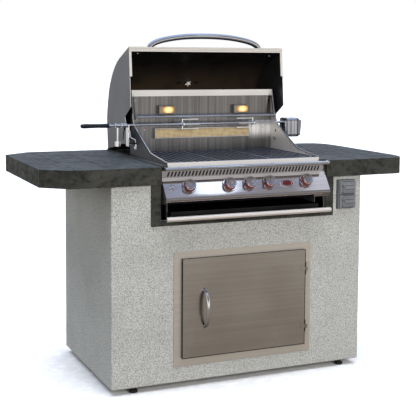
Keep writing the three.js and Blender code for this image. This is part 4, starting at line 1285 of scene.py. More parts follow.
@dataclass
class ControlPanel(Assembly):
    """The control panel with its bezels, knobs, igniter and badge, the front ledge and the gas pipe."""

    slope: PanelFrame = field(default_factory=PanelFrame)
    share: float = 0.554
    knob_xs: tuple[float, ...] = (-0.236, -0.058, 0.033, 0.123, 0.298)
    badge_x: float = 0.205
    badge_share: float = 0.5
    badge_half: tuple[float, float] = (0.034, 0.0165)
    igniter_x: float = -0.3095
    steel: Finish = BrushedSteel("stainless_steel", (0.72, 0.66, 0.67), (0.55, 0.5, 0.51), Axis.X, 0.1)
    bright: Finish = Polished("chrome", (0.85, 0.86, 0.9), 0.07)
    # Darker steel for the panel's upright faces: painted shade.
    upright_face_shade: Finish = BrushedSteel("stainless_steel", (0.4, 0.395, 0.41), (0.33, 0.325, 0.34), Axis.X, 0.24)
    # Brighter, less metallic steel for the bend below the vent strip: painted highlight.
    bend_highlight: Finish = BrushedSteel("stainless_steel", (0.78, 0.76, 0.78), (0.68, 0.66, 0.68), Axis.X, 0.2, 0.45)
    ring_red: Finish = Enamel("red_enamel", (0.3, 0.006, 0.006), (0.2, 0.004, 0.004), 0.2, 0.0001, 0.4)
    badge_red: Finish = Enamel("red_enamel", (0.085, 0.004, 0.005), (0.05, 0.002, 0.003), 0.2, 0.0001, 0.4)
    dark: Finish = Moulded("black_plastic", (0.008, 0.008, 0.009), 0.4)
    # Darker, browner chrome for the knobs' dished faces: painted reflection.
    disc: Finish = Polished("chrome", (0.4, 0.33, 0.3), 0.26)
    pipe: Finish = Zinc("zinc_steel")
    bright_band: float = 0.0125
    bezel_line: Line = (
        (0.0259, 0.0005), (0.0294, 0.0002), (0.0306, 0.0012), (0.0294, 0.0035), (0.028, 0.0053),
        (0.0265, 0.0053), (0.0259, 0.0045), (0.0259, 0.0005),
    )
    mark_count: int = 10
    mark_place: Point = (0.0296, 0.0, 0.0026)
    mark_lean: float = 62.0
    mark_scale: tuple[float, ...] = (0.6, 1.7, 1.0, 1.0)
    mark_line: Line = ((0.0, -0.0006), (0.0021, -0.0006), (0.0021, 0.0004), (0.0, 0.0004))
    skirt_line: Line = (
        (0.0, -0.0164), (0.004, -0.0164), (0.004, 0.002), (0.0245, 0.002), (0.025, 0.0026),
        (0.0249, 0.0052), (0.024, 0.0066), (0.0215, 0.0072), (0.0, 0.0072),
    )
    band_line: Line = (
        (0.0, 0.007), (0.0227, 0.007), (0.0233, 0.0078), (0.0233, 0.0176), (0.0227, 0.0184), (0.0, 0.0184),
    )
    cap_line: Line = (
        (0.0, 0.0182), (0.0219, 0.0182), (0.0227, 0.0188), (0.0227, 0.0262), (0.0211, 0.0288),
        (0.0193, 0.0289), (0.0183, 0.0281), (0.01075, 0.0274), (0.0, 0.0272),
    )
    pointer_corners: tuple[Point, Point] = ((-0.0009, 0.008, 0.0272), (0.0009, 0.0179, 0.0284))
    collar_line: Line = (
        (0.0073, 0.004), (0.0085, 0.0046), (0.0112, 0.004), (0.012, 0.003), (0.012, 0.0003),
        (0.0093, 0.0003), (0.0093, -0.0023), (0.012, -0.0023), (0.012, -0.018), (0.0033, -0.018),
        (0.0033, -0.0046), (0.0073, -0.0046), (0.0073, 0.004),
    )
    button_line: Line = (
        (0.0, -0.0137), (0.003, -0.0137), (0.003, 0.0), (0.0068, 0.0), (0.0068, 0.003),
        (0.0042, 0.0036), (0.0042, 0.0078), (0.0036, 0.0088), (0.0, 0.009),
    )
    rim_line: Line = (
        (0.0, 0.0), (1.0, 0.0), (1.0, 0.0022), (0.965, 0.003), (0.9, 0.003), (0.87, 0.0022), (0.0, 0.0022),
    )
    field_line: Line = ((0.0, 0.002), (0.87, 0.002), (0.84, 0.0024), (0.5, 0.0028), (0.0, 0.00295))
    ring_line: Line = (
        (0.66, 0.0022), (0.72, 0.0022), (0.72, 0.00305), (0.69, 0.0032), (0.66, 0.00305), (0.66, 0.0022),
    )
    slot_count: int = 46
    slot_margin: float = 0.022
    slot_heights: tuple[float, float] = (0.8722, 0.8918)
    slot_width: float = 0.0078
    slot_slant: float = 0.0077

    def build(self) -> None:
        """Models the panel, the ledge, and all that sits on the panel."""
        high = self.slope.top[1] - self.bright_band
        panel = Shape.of_node("control_panel").split((0.0, 0.0, high), Axis.Z.value)
        # Painted shade: the panel's upright faces are darker.
        panel.dressed(self.upright_face_shade, lambda middle, normal: normal.y < -0.97)
        # Painted highlight: the bend above the split is brighter.
        panel.dressed(self.bend_highlight, lambda middle, normal: -0.985 < normal.y < -0.7 and middle.z > high)
        self.recut("front_ledge", self.bright, 0.0006, 2, smooth=SHARP_ON_SHEET)
        self.add("control_panel_finished", panel, self.steel, "control_panel", smooth=32.0)
        self.recut("gas_manifold", self.pipe)
        for number, x in enumerate(self.knob_xs, 1):
            self.bezel(number, x)
            self.knob(number, x)
        self.igniter()
        self.badge()
        self.vent_shadows()

    def vent_shadows(self) -> None:
        """Lays a black slanting plate over each slot of the vent strip."""
        low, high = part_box("control_panel")
        bottom, top = self.slot_heights
        span = high.x - low.x - self.slot_margin * 2
        upright = at(low.x + self.slot_margin, self.slope.top[0] + 0.0003, 0.0) @ turned_by(90, Axis.X)
        shadows = Shape()
        for number in range(self.slot_count):
            left = span * number / self.slot_count - 0.001
            right, slant = left + self.slot_width, self.slot_slant
            outline = [(left, bottom), (right, bottom), (right + slant, top), (left + slant, top)]
            shadows.with_shape(Shape.cut_out(outline, 0.0006, upright))
        self.add("vent_shadows", shadows, self.dark)

    def bezel(self, number: int, x: float) -> None:
        """Adds a bezel's polished ring with dark setting marks round it.

        Args:
            number: The knob's number.
            x: The knob's place.
        """
        place, step = self.slope.place(x, self.share), 360 / self.mark_count
        spots = [
            place @ turned_by(step / 2 + turn * step, Axis.Z) @ at(*self.mark_place)
            @ turned_by(self.mark_lean, Axis.Y) @ Matrix.Diagonal(self.mark_scale)
            for turn in range(self.mark_count)
        ]
        self.add(f"bezel_{number}", Shape.turned(self.bezel_line, place, 64), self.bright)
        self.add(f"bezel_{number}_marks", Shape.studs(self.mark_line, spots), self.dark)

    def knob(self, number: int, x: float) -> None:
        """Turns one knob: chrome skirt, red band, chrome cap with a dished face and a pointer.

        Args:
            number: The knob's number.
            x: The knob's place.
        """
        name, body, place = f"knob_{number}", Body[f"KNOB_{number}"], self.slope.place(x, self.share)
        skirt, band, cap = (
            Shape.turned(line, place, 64) for line in (self.skirt_line, self.band_line, self.cap_line)
        )
        out = place.to_3x3() @ Vector(Axis.Z.value)
        # Painted reflection: the dished face is darker and browner.
        cap.dressed(self.disc, lambda middle, normal: normal.dot(out) > 0.985)
        self.add(f"{name}_skirt", skirt, self.bright, name, body=body)
        self.add(f"{name}_band", band, self.ring_red, body=body)
        self.add(f"{name}_cap", cap, self.bright, body=body, smooth=45.0)
        pointer = Shape.box(*self.pointer_corners).eased(0.0003, 2).moved(place)
        self.add(f"{name}_pointer", pointer, self.dark, body=body)

    def igniter(self) -> None:
        """Turns the igniter's collar and its button."""
        place = self.slope.place(self.igniter_x, self.share)
        button = Shape.turned(self.button_line, place)
        button.dressed(self.ring_red, lambda middle, normal: abs(normal.x) > 0.97)
        self.add("igniter_collar", Shape.turned(self.collar_line, place), self.bright, "igniter_body")
        self.add("igniter_cap", button, self.bright, "igniter_button", body=Body.IGNITER)

    def badge(self) -> None:
        """Adds the bare oval badge: a polished rim and line round a domed red field."""
        place = self.slope.place(self.badge_x, self.badge_share, 0.0003)
        place = place @ Matrix.Diagonal((*self.badge_half, 1.0, 1.0))
        self.add("badge_rim", Shape.turned(self.rim_line, place, 72), self.bright, "badge_plate")
        self.add("badge_field", Shape.turned(self.field_line, place, 72), self.badge_red)
        self.add("badge_line", Shape.turned(self.ring_line, place, 72), self.bright)


@dataclass
class CookingDeck(Assembly):
    """The firebox and what it holds: burners, shield, grates, rear burner, lamps, rack and drip tray."""

    steel: Finish = BrushedSteel("stainless_steel", (0.6, 0.585, 0.57), (0.47, 0.46, 0.45), Axis.X, 0.24)
    upright: Finish = BrushedSteel("stainless_steel", (0.37, 0.365, 0.36), (0.14, 0.14, 0.142), Axis.Z, 0.3)
    # The firebox's walls, with a painted reflection in one lower corner at the right.
    rear: Finish = PaintedReflectionWall("stainless_steel", (0.37, 0.365, 0.36), (0.14, 0.14, 0.142), Axis.Z, 0.3)
    # Brighter, less metallic steel for the right inner wall: painted light.
    inner: Finish = BrushedSteel("stainless_steel", (0.98, 0.92, 0.85), (0.8, 0.75, 0.69), Axis.Z, 0.24, 0.35)
    bright: Finish = Polished("chrome", (0.78, 0.78, 0.8), 0.1)
    # Blue-tinted steel for the grates: the blue is a painted sky reflection.
    bars: Finish = BrushedSteel("stainless_steel", (0.42, 0.52, 0.74), (0.26, 0.33, 0.53), Axis.Y, 0.18, 0.7)
    warm: Finish = BrushedSteel("stainless_steel", (0.95, 0.89, 0.83), (0.86, 0.8, 0.75), Axis.X, 0.22, 0.6)
    # Dark steel: soot, and painted shade on the burners, the heat shield, the firebox floor and the grate
    # bars' sides.
    soot: Finish = BrushedSteel("grey_steel", (0.035, 0.035, 0.037), (0.016, 0.016, 0.017), Axis.Y, 0.5, 0.6)
    # Near-black for the firebox's front behind the vents: painted shade.
    black: Finish = Enamel("dark_enamel", (0.004, 0.004, 0.004), (0.002, 0.002, 0.002), 0.7)
    # Near-black for the drip tray: painted shade.
    enamel: Finish = Enamel("dark_enamel", (0.008, 0.008, 0.009), (0.004, 0.004, 0.004), 0.45)
    ceramic: Finish = BurnerCeramic("burner_ceramic")
    zinc: Finish = Zinc("zinc_steel")
    # Darker steel for the firebox's outer side walls: painted shade.
    outside: Finish = BrushedSteel("grey_steel", (0.1, 0.1, 0.104), (0.075, 0.075, 0.078), Axis.Z, 0.5, 0.7)
    painted: Finish = Enamel("grey_steel", (0.045, 0.046, 0.048), (0.03, 0.03, 0.032), 0.6)
    # Bright steel for the top strip and the front above the vents: painted highlight.
    strip: Finish = BrushedSteel("stainless_steel", (0.9, 0.88, 0.86), (0.82, 0.8, 0.78), Axis.X, 0.3, 0.7)
    dark: Finish = Moulded("black_plastic", (0.01, 0.01, 0.01), 0.6)
    screw_line: Line = ((0.0, 0.0), (0.0035, 0.0), (0.00301, 0.0012), (0.0, 0.0018))
    screw_inset: float = 0.011
    screw_ys: tuple[float, ...] = (-0.28, -0.21, 0.33)
    rivet_line: Line = ((0.0, -0.0003), (0.0034, -0.0003), (0.0028, 0.0011), (0.0, 0.0016))
    rivet_places: Line = ((-0.2523, 1.0262), (0.332, 1.0262), (-0.296, 1.155), (0.352, 1.155))
    peep_place: tuple[float, float] = (0.0546, 1.0137)
    peep_half: tuple[float, float] = (0.0085, 0.0075)
    strip_height: float = 0.028
    soot_and_shade_height: float = 0.09
    vent_rise: float = 0.006
    front_depth: float = 0.004
    hem: float = 0.0032
    hem_inset: float = 0.0012
    wall_foot: float = 0.905
    recess_rim: float = 0.0052
    recess_depth: float = 0.0041
    bulb_offset: float = 0.006

    def build(self) -> None:
        """Models the firebox, the flange and everything inside."""
        self.add("firebox_finished", self.box_shell(), self.rear, "firebox")
        self.recut("mounting_flange", self.painted, 0.001, 2)
        # The burners and the heat shield are dark: soot and painted shade.
        self.recut("burner_set", self.soot)
        self.recut("heat_shield", self.soot, 0.0005, 1)
        for side in ("left", "middle", "right"):
            # Painted shade: the bars' sides and undersides take the dark steel.
            edges = (self.soot, lambda middle, normal: abs(normal.x) > 0.4 or normal.z < -0.3)
            self.recut(f"grate_{side}", self.bars, 0.0009, 2, smooth=SHARP_ON_BARS, accents=[edges])
        self.recut("warming_rack", self.bright, smooth=SHARP_ON_BARS)
        self.rear_burner()
        for side in ("left", "right"):
            self.lamp(side)
        # The drip tray is near-black as painted shade.
        self.recut("drip_tray", self.enamel, 0.0006, 1, body=Body.TRAY)
        self.recut("tray_handle", self.warm, 0.0005, 2, body=Body.TRAY, smooth=SHARP_ON_SHEET)
        for side in ("left", "right"):
            self.recut(f"tray_runner_{side}", self.zinc, 0.0005, 1)
        self.flange_screws()
        self.side_hems()
        self.wall_fixings()

    def side_hems(self) -> None:
        """Rolls a bright hem along the sloping edge of each side wall of the firebox."""
        low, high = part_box("firebox")
        walls = Shape.of_node("firebox")
        corners = [vert.co.copy() for vert in walls.mesh.verts if vert.co.z > self.wall_foot]
        walls.mesh.free()
        for name, x, inward in (("left", low.x, self.hem_inset), ("right", high.x, -self.hem_inset)):
            edge = [point for point in corners if abs(point.x - x) < 0.0002]
            path: list[Vector] = []
            for point in sorted(edge, key=lambda point: (round(point.y, 4), -point.z)):
                onward = not path or (point.z > path[-1].z and point.y > path[-1].y + 0.001)
                if onward and point.y < high.y - 0.004:
                    path.append(Vector((x + inward, point.y, point.z)))
            self.add(f"firebox_hem_{name}", Shape.swept(path, self.hem, 12), self.bright)

    def wall_fixings(self) -> None:
        """Adds the screw heads on the firebox's rear wall and, at the right, a black diamond of painted shade
        in the peep hole.
        """
        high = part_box("firebox")[1]
        places = [at(x, high.y - 0.002, z) @ turned_by(90, Axis.X) for x, z in self.rivet_places]
        self.add("firebox_screws", Shape.studs(self.rivet_line, places), self.bright)
        side = at(high.x - 0.0018, *self.peep_place) @ turned_by(-90, Axis.Y)
        tall, wide = self.peep_half
        outline = [(tall, 0.0), (0.0, wide), (-tall, 0.0), (0.0, -wide)]
        # Painted shade: a black diamond stands in the peep hole.
        self.add("firebox_peep_hole", Shape.cut_out(outline, 0.0008, side), self.dark)

    def box_shell(self) -> Shape:
        """Recuts the firebox, with soot and painted shade at the bottom and black painted shade behind the
        vents.

        Returns:
            The firebox.
        """
        low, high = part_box("firebox")
        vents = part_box("front_ledge")[0].z + self.vent_rise
        floor, strip, front = low.z + self.soot_and_shade_height, high.z - self.strip_height, low.y + self.front_depth
        centre = (low.x + high.x) / 2
        shell = Shape.of_node("firebox").eased(0.0006, 1)
        shell.split((0.0, 0.0, vents), Axis.Z.value).split((0.0, 0.0, strip), Axis.Z.value)
        areas: tuple[tuple[Finish, FaceTest], ...] = (
            # Soot and painted shade on the firebox floor.
            (self.soot, lambda middle, normal: normal.z > 0.7 and middle.z < floor),
            # Painted shade: the outer side walls are darker.
            (
                self.outside,
                lambda middle, normal: abs(normal.x) > FACING and normal.x * (middle.x - centre) > 0,
            ),
            # Painted light: the right inner wall is brighter.
            (self.inner, lambda middle, normal: normal.x < -FACING and middle.x > centre),
            # Painted highlight: the top strip and the front above the vents are bright.
            (self.strip, lambda middle, normal: middle.z > strip),
            (self.strip, lambda middle, normal: normal.y < -FACING and middle.y < front and middle.z > vents),
            # Painted shade: the front behind the vents is black.
            (self.black, lambda middle, normal: normal.y < -FACING and middle.y < front and middle.z < vents),
        )
        for finish, where in areas:
            shell.dressed(finish, where)
        return shell

    def rear_burner(self) -> None:
        """Sets the ceramic plate into the rear burner's steel housing."""
        self.recut("rear_burner", self.steel, 0.0006, 2)
        self.add("rear_burner_plate", self.inset("rear_burner", 0.0022), self.ceramic)

    def inset(self, node: str, front: float) -> Shape:
        """The plate that fills the recess of a housing.

        Args:
            node: The housing's CAD node.
            front: How far the plate's face lies behind the housing's.

        Returns:
            The plate.
        """
        low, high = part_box(node)
        rim = self.recess_rim
        return Shape.box(
            (low.x + rim, low.y + front, low.z + rim), (high.x - rim, low.y + self.recess_depth, high.z - rim)
        )

    def lamp(self, side: str) -> None:
        """Sets a lit lens into a lamp's housing.

        Args:
            side: The lamp's side.
        """
        node = f"lamp_{side}"
        self.recut(node, self.upright, 0.0006, 2)
        low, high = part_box(node)
        middle = (low + high) / 2
        finish = LitLens("lamp_glass", (middle.x + self.bulb_offset, middle.y, middle.z))
        self.add(f"{node}_lens", self.inset(node, 0.0012).eased(0.001, 2), finish)

    def flange_screws(self) -> None:
        """Puts round-headed screws along the flange's sides."""
        low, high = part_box("mounting_flange")
        columns = (low.x + self.screw_inset, high.x - self.screw_inset)
        places = [at(x, y, high.z - 0.0002) for x in columns for y in self.screw_ys]
        self.add("flange_screws", Shape.studs(self.screw_line, places, 20), self.bright)


@dataclass
class Hood(Assembly):
    """The rolled hood with its liner, side plates, trim, bow handle and gauge, and its pivot bolts."""

    skin: Finish = BrushedSteel("grey_steel", (0.3, 0.315, 0.34), (0.24, 0.252, 0.275), Axis.X, 0.38)
    side: Finish = BrushedSteel("grey_steel", (0.155, 0.165, 0.185), (0.14, 0.15, 0.168), Axis.Z, 0.42, 0.85)
    trim: Finish = BrushedSteel("grey_steel", (0.86, 0.81, 0.76), (0.74, 0.7, 0.66), Axis.X, 0.32, 0.35)
    inside: Finish = HeatedEnamel("dark_enamel")
    bright: Finish = Polished("chrome", (0.78, 0.79, 0.82), 0.1)
    glass: Finish = Moulded("chrome", (0.7, 0.7, 0.68), 0.2, 0.00002)
    # Black: the dial's printed marks, and painted shade in the liner's vent holes.
    ink_and_hole_shade: Finish = Moulded("black_plastic", (0.004, 0.004, 0.004), 0.5)
    pale: Finish = Moulded("zinc_steel", (0.85, 0.83, 0.78), 0.3, 0.00002)
    # Black for painted shadow at the side plates' lower edges and on the flange.
    painted_shadow_black: Finish = Enamel("dark_enamel", (0.003, 0.003, 0.003), (0.002, 0.002, 0.002), 0.7)
    # Dark bluish chrome for the handle's hollow side: painted shade.
    under: Finish = Polished("chrome", (0.1, 0.12, 0.16), 0.2)
    shadow_rise: float = 0.041
    rear_strip: Point = (0.003, 0.0085, 0.0077)
    bow_centre: float = 0.5
    trim_depth: float = 0.0006
    trim_height: float = 0.0204
    ribs: Line = ((0.0002, 0.0062), (0.0072, 0.0132), (0.0142, 0.0196))
    hole_height: float = 0.0083
    hole_aside: float = 0.045
    hole_line: Line = ((0.0, -0.0007), (0.0065, -0.0007), (0.0065, 0.0009), (0.0, 0.0009))
    star_radii: tuple[float, float] = (0.0165, 0.0068)
    star_thick: float = 0.005
    nut_line: Line = ((0.0, -0.0075), (0.0035, -0.007), (0.005, -0.003), (0.005, 0.0))
    dial_line: Line = ((0.0, -0.0003), (0.0295, -0.0003), (0.0295, 0.0004), (0.0, 0.0004))
    dial_step: float = 25.0
    mark_half: float = 0.0006
    mark_ends: Point = (0.0205, 0.027, 0.0285)
    needle: Line = ((-0.0014, -0.005), (0.0014, -0.005), (0.0004, 0.021), (-0.0004, 0.021))
    hub_line: Line = ((0.0, 0.0), (0.003, 0.0), (0.0026, 0.0022), (0.0, 0.0026))
    bow: Line = ((-1.0, 0.0), (-0.985, 0.22), (-0.9, 0.48), (-0.72, 0.72), (-0.4, 0.93), (0.0, 1.0))
    rivet_line: Line = ((0.0, -0.0004), (0.0036, -0.0004), (0.003, 0.0012), (0.0, 0.0018))
    rivet_places: tuple[Point, ...] = ((-0.2934, 0.0821, 1.3634), (0.3617, 0.1038, 1.3564))
    liner_out: Point = (0.0, -0.31, -0.95)

    def build(self) -> None:
        """Models the hood's plates, its trim and the pieces bolted to it."""
        for node, finish in (("hood_skin", self.skin), ("hood_liner", self.inside)):
            self.recut(node, finish, body=Body.HOOD, smooth=SHARP_ON_SHEET)
        for side in ("left", "right"):
            self.side_plate(f"hood_side_{side}")
        self.shadow_strips()
        self.bow_handle()
        self.liner_rivets()
        for side in ("left", "right"):
            self.recut(f"hood_pivot_{side}", self.bright, 0.0008, 2)
        self.recut("hood_gauge", self.bright, 0.001, 2, body=Body.HOOD, smooth=SHARP_ON_SHEET)
        self.front_trim()
        self.gauge()

    def side_plate(self, node: str) -> None:
        """Recuts a side plate, black as painted shadow below a slanting line at its lower edge, and bright on
        its front flange.

        Args:
            node: The plate's CAD node.
        """
        low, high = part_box(node)
        start, end = Vector((0.0, high.y, low.z + 0.002)), Vector((0.0, low.y + 0.03, low.z + self.shadow_rise))
        run = end - start
        upward = Vector((0.0, run.z, -run.y))
        plate = Shape.of_node(node).split(start, upward)
        # Painted shadow: the faces below the slanting line are black.
        plate.dressed(
            self.painted_shadow_black,
            lambda middle, normal: (middle - start).dot(upward) < 0.0 and abs(normal.x) > 0.5,
        )
        plate.dressed(self.trim, lambda middle, normal: normal.y < -0.75)
        self.add(f"{node}_finished", plate, self.side, node, body=Body.HOOD)

    def shadow_strips(self) -> None:
        """Lays black strips on the flange under the side plates and behind the liner, as painted shadow."""
        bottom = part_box("mounting_flange")[1].z - 0.0002
        plates = [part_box(f"hood_side_{side}") for side in ("left", "right")]
        corners = [
            ((low.x + 0.001, low.y + 0.05, bottom), (high.x - 0.001, high.y, low.z - 0.001))
            for low, high in plates
        ]
        left, (right, rear) = plates[0][0].x, plates[1][1].xy
        inset, depth, height = self.rear_strip
        corners.append(
            ((left + inset, rear - depth, bottom), (right - inset, rear - 0.0005, bottom + height))
        )
        self.add("hood_seal_strips", Shape.bars(corners, 0.0006, 1), self.painted_shadow_black)

    def bow_handle(self) -> None:
        """Bends the hood's handle into one long arc, with painted shade on its hollow side."""
        low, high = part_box("hood_handle")
        radius = (high.y - low.y) / 2
        middle_x, y = (low.x + high.x) / 2, (low.y + high.y) / 2
        half, height = (high.x - low.x) / 2 - radius, high.z - radius - low.z
        rise = [*self.bow, *((-share, up) for share, up in reversed(self.bow[:-1]))]
        knots = [(middle_x + share * half, y, low.z + up * height) for share, up in rise]
        bow = Shape.swept(smooth_path(knots, 8), radius, 28)
        depth = low.z - self.bow_centre
        # Painted shade: the faces towards the bow's hollow are dark.
        bow.dressed(
            self.under,
            lambda middle, normal: normal.dot(Vector((middle_x, middle.y, depth)) - middle) > 0.22,
        )
        self.add("hood_handle_bow", bow, self.bright, "hood_handle", body=Body.HOOD, smooth=60.0)

    def liner_rivets(self) -> None:
        """Adds a pale rivet head at each end of the liner."""
        turn = Vector(self.liner_out).to_track_quat("Z", "X").to_matrix().to_4x4()
        places = [Matrix.Translation(place) @ turn for place in self.rivet_places]
        self.add("liner_rivets", Shape.studs(self.rivet_line, places), self.pale, body=Body.HOOD)

    def gauge(self) -> None:
        """Adds the gauge's dial outside; inside, its star-shaped nut and black discs as painted shade in two
        vent holes.
        """
        node = Shape.of_node("hood_gauge")
        disc = max(node.mesh.faces, key=lambda face: face.calc_area() * (face.normal.y > 0.0))
        centre, out, across = disc.calc_center_median(), disc.normal.copy(), Vector(Axis.X.value)
        inner = min((vert.co - centre).dot(out) for vert in node.mesh.verts)
        node.mesh.free()
        turn = laid_along(across, out.cross(across), out)
        self.dial(Matrix.Translation(centre) @ turn)
        inside = Matrix.Translation(centre + out * inner) @ turn
        angles = [math.radians(90 + step * 36) for step in range(10)]
        radii = self.star_radii * 5
        star = [(radius * math.cos(angle), radius * math.sin(angle)) for radius, angle in zip(radii, angles)]
        nut = Shape.cut_out(star, self.star_thick, inside @ at(0.0, 0.0, -0.004)).eased(0.0011, 2, 20.0)
        nut.with_shape(Shape.turned(self.nut_line, inside, 24))
        self.add("gauge_star_nut", nut, self.pale, body=Body.HOOD)
        spots = [
            inside @ at(aside, 0.0, self.hole_height) @ Matrix.Diagonal((1.5, 1.0, 1.0, 1.0))
            for aside in (-self.hole_aside, self.hole_aside)
        ]
        # Painted shade: black discs stand in the two vent holes.
        self.add("liner_vent_holes", Shape.studs(self.hole_line, spots, 24), self.ink_and_hole_shade, body=Body.HOOD)

    def dial(self, place: Matrix) -> None:
        """Adds the gauge's pale dial, with its marks and its needle.

        Args:
            place: The place of the dial's middle, with Z outwards.
        """
        self.add("gauge_dial", Shape.turned(self.dial_line, place), self.glass, body=Body.HOOD)
        half, (inner, short, long) = self.mark_half, self.mark_ends
        marks = Shape()
        for step in range(11):
            mark = Shape.box((-half, inner, 0.0002), (half, short if step % 5 else long, 0.0008))
            marks.with_shape(mark.moved(place @ turned_by((5 - step) * self.dial_step, Axis.Z)))
        tilt = place @ turned_by(5 * self.dial_step, Axis.Z) @ at(0.0, 0.0, 0.0009)
        marks.with_shape(Shape.cut_out(self.needle, 0.0007, tilt))
        marks.with_shape(Shape.turned(self.hub_line, place, 24))
        self.add("gauge_marks", marks, self.ink_and_hole_shade, body=Body.HOOD)

    def front_trim(self) -> None:
        """Lays the ribbed trim over the hood's lip."""
        low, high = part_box("hood_skin")
        base = high.z - self.trim_height
        corners = [
            ((low.x, low.y - self.trim_depth, base + start), (high.x, low.y + 0.0008, base + end))
            for start, end in self.ribs
        ]
        self.add("hood_lip_trim", Shape.bars(corners, 0.0004, 2), self.trim, body=Body.HOOD)


@dataclass
class Rotisserie(Assembly):
    """The spit with its grip, counterweight and forks, its brackets and its motor."""

    bright: Finish = Polished("chrome", (0.93, 0.95, 1.0), 0.08)
    grip: Finish = Moulded("black_plastic", (0.008, 0.011, 0.016), 0.34)
    housing: Finish = BrushedSteel("grey_steel", (0.62, 0.64, 0.7), (0.36, 0.37, 0.4), Axis.Z, 0.22, 0.85)
    end_cap: Finish = BrushedSteel("grey_steel", (0.4, 0.4, 0.45), (0.26, 0.26, 0.3), Axis.Z, 0.3, 0.85)
    # Black: the motor's joint, and painted shade in its grooves and vents.
    dark: Finish = Moulded("black_plastic", (0.01, 0.01, 0.012), 0.45)
    bushing_offset: float = 0.0235
    bushing_line: Line = (
        (0.0048, 0.0), (0.009, 0.0), (0.0105, 0.0015), (0.0105, 0.007), (0.0082, 0.0085), (0.0082, 0.0125),
        (0.0108, 0.014), (0.0108, 0.0205), (0.0095, 0.0225), (0.0048, 0.0225), (0.0048, 0.0),
    )
    wire_radius: float = 0.002
    hook: Line = (
        (0.003, 1.034), (-0.004, 1.02), (-0.016, 1.004), (-0.05, 1.0), (-0.07, 0.998), (-0.076, 0.986),
    )
    grip_unit: float = 0.01
    grip_line: Line = (
        (0.0, 0.0), (0.45, 0.0), (0.78, 0.02), (0.93, 0.06), (0.98, 0.14), (0.9, 0.34), (0.86, 0.55),
        (0.92, 0.72), (1.0, 0.84), (1.0, 0.86), (0.9, 0.87), (0.9, 0.88), (0.0, 0.88),
    )
    collar_line: Line = (
        (0.0, 0.879), (0.72, 0.879), (0.78, 0.89), (0.78, 0.93), (0.62, 0.94), (0.62, 0.97), (0.56, 1.0),
        (0.5, 1.0),
    )
    joint_start: float = 0.05
    joint_width: float = 0.004
    taper: tuple[float, float] = (0.45, 0.25)
    groove_offsets: tuple[float, ...] = (0.014, 0.019, 0.034)
    groove_width: float = 0.0016
    slot_count: int = 6
    slot_pitch: float = 0.0075

    def build(self) -> None:
        """Models the turning pieces and what carries them."""
        for node in ("spit_rod", "counterweight", "fork_left", "fork_right"):
            self.recut(node, self.bright, body=Body.SPIT, smooth=SHARP_ON_BARS)
        self.handle()
        for side in ("left", "right"):
            self.recut(f"spit_bracket_{side}", self.bright, 0.0006, 1)
        self.motor()
        self.motor_vents()
        self.holder()

    def holder(self) -> None:
        """Adds the spit's bushing beside its left bracket, and the wire hook under it."""
        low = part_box("spit_bracket_left")[0]
        rod_low, rod_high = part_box("spit_rod")
        axis = (rod_low + rod_high) / 2
        place = at(low.x - self.bushing_offset, axis.y, axis.z) @ turned_by(90, Axis.Y)
        self.add("spit_bushing", Shape.turned(self.bushing_line, place, 32), self.bright, body=Body.SPIT)
        knots = [(low.x + 0.003, low.y + forward, height) for forward, height in self.hook]
        self.add("spit_hook", Shape.swept(smooth_path(knots, 5), self.wire_radius, 12), self.bright)

    def handle(self) -> None:
        """Turns the spit's grip: a waisted black handle with rings and a chrome collar."""
        low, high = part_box("spit_grip")
        middle, length = (low + high) / 2, high.x - low.x
        across = at(low.x, middle.y, middle.z) @ turned_by(90, Axis.Y)
        grip, collar = (
            Shape.turned([(radius * self.grip_unit, share * length) for radius, share in line], across, 40)
            for line in (self.grip_line, self.collar_line)
        )
        self.add("grip_turned", grip, self.grip, "spit_grip", body=Body.SPIT, smooth=SHARP_ON_BARS)
        self.add("grip_collar", collar, self.bright, body=Body.SPIT)

    def motor(self) -> None:
        """Recuts the motor with a dark joint, a duller end cap that tapers, and upright grooves painted black
        as shade.
        """
        low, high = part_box("rotisserie_motor")
        joint = low.x + self.joint_start
        cap = joint + self.joint_width
        body = Shape.of_node("rotisserie_motor").eased(0.004, 3)
        for x in (joint, cap):
            body.split((x, 0.0, 0.0), Axis.X.value)
        inward, downward = self.taper
        for vert in body.mesh.verts:
            over = max(0.0, vert.co.x - cap)
            vert.co.x -= over * inward * max(0.0, (high.z - 0.02 - vert.co.z) / (high.z - low.z))
            vert.co.z -= over * downward * (vert.co.z > high.z - 0.01)
        body.dressed(self.dark, lambda middle, normal: joint < middle.x < cap)
        body.dressed(self.end_cap, lambda middle, normal: middle.x > cap)
        self.add("rotisserie_motor_finished", body, self.housing, "rotisserie_motor")
        corners = [
            ((x, low.y - 0.0003, low.z + 0.006), (x + self.groove_width, low.y + 0.001, high.z - 0.006))
            for x in (low.x + offset for offset in self.groove_offsets)
        ]
        self.add("motor_grooves", Shape.bars(corners, 0.0003, 1), self.dark)

    def motor_vents(self) -> None:
        """Adds a row of black bars to the back of the motor's housing, as painted shade in its vents."""
        low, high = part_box("rotisserie_motor")
        heights = [low.z + 0.022 + number * self.slot_pitch for number in range(self.slot_count)]
        corners = [
            ((low.x + 0.012, high.y - 0.002, z), (low.x + 0.044, high.y + 0.0003, z + 0.003)) for z in heights
        ]
        self.add("motor_vents", Shape.bars(corners, 0.0006, 2), self.dark)


@dataclass(frozen=True)
class Light:
    """A soft round light that faces one point; polished pieces show it only where it is glossy."""

    name: str
    place: Point
    target: Point
    size: float
    power: float
    colour: Colour
    glossy: bool = False

    def hang(self) -> None:
        """Hangs the light."""
        data = bpy.data.lights.new(self.name, "AREA")
        data.shape = "DISK"
        data.size, data.energy, data.color = self.size, self.power, self.colour
        made = bpy.data.objects.new(self.name, data)
        made.location = self.place
        made.rotation_euler = (Vector(self.target) - Vector(self.place)).to_track_quat("-Z", "Y").to_euler()
        made.visible_camera, made.visible_glossy = False, self.glossy
        bpy.context.scene.collection.objects.link(made)


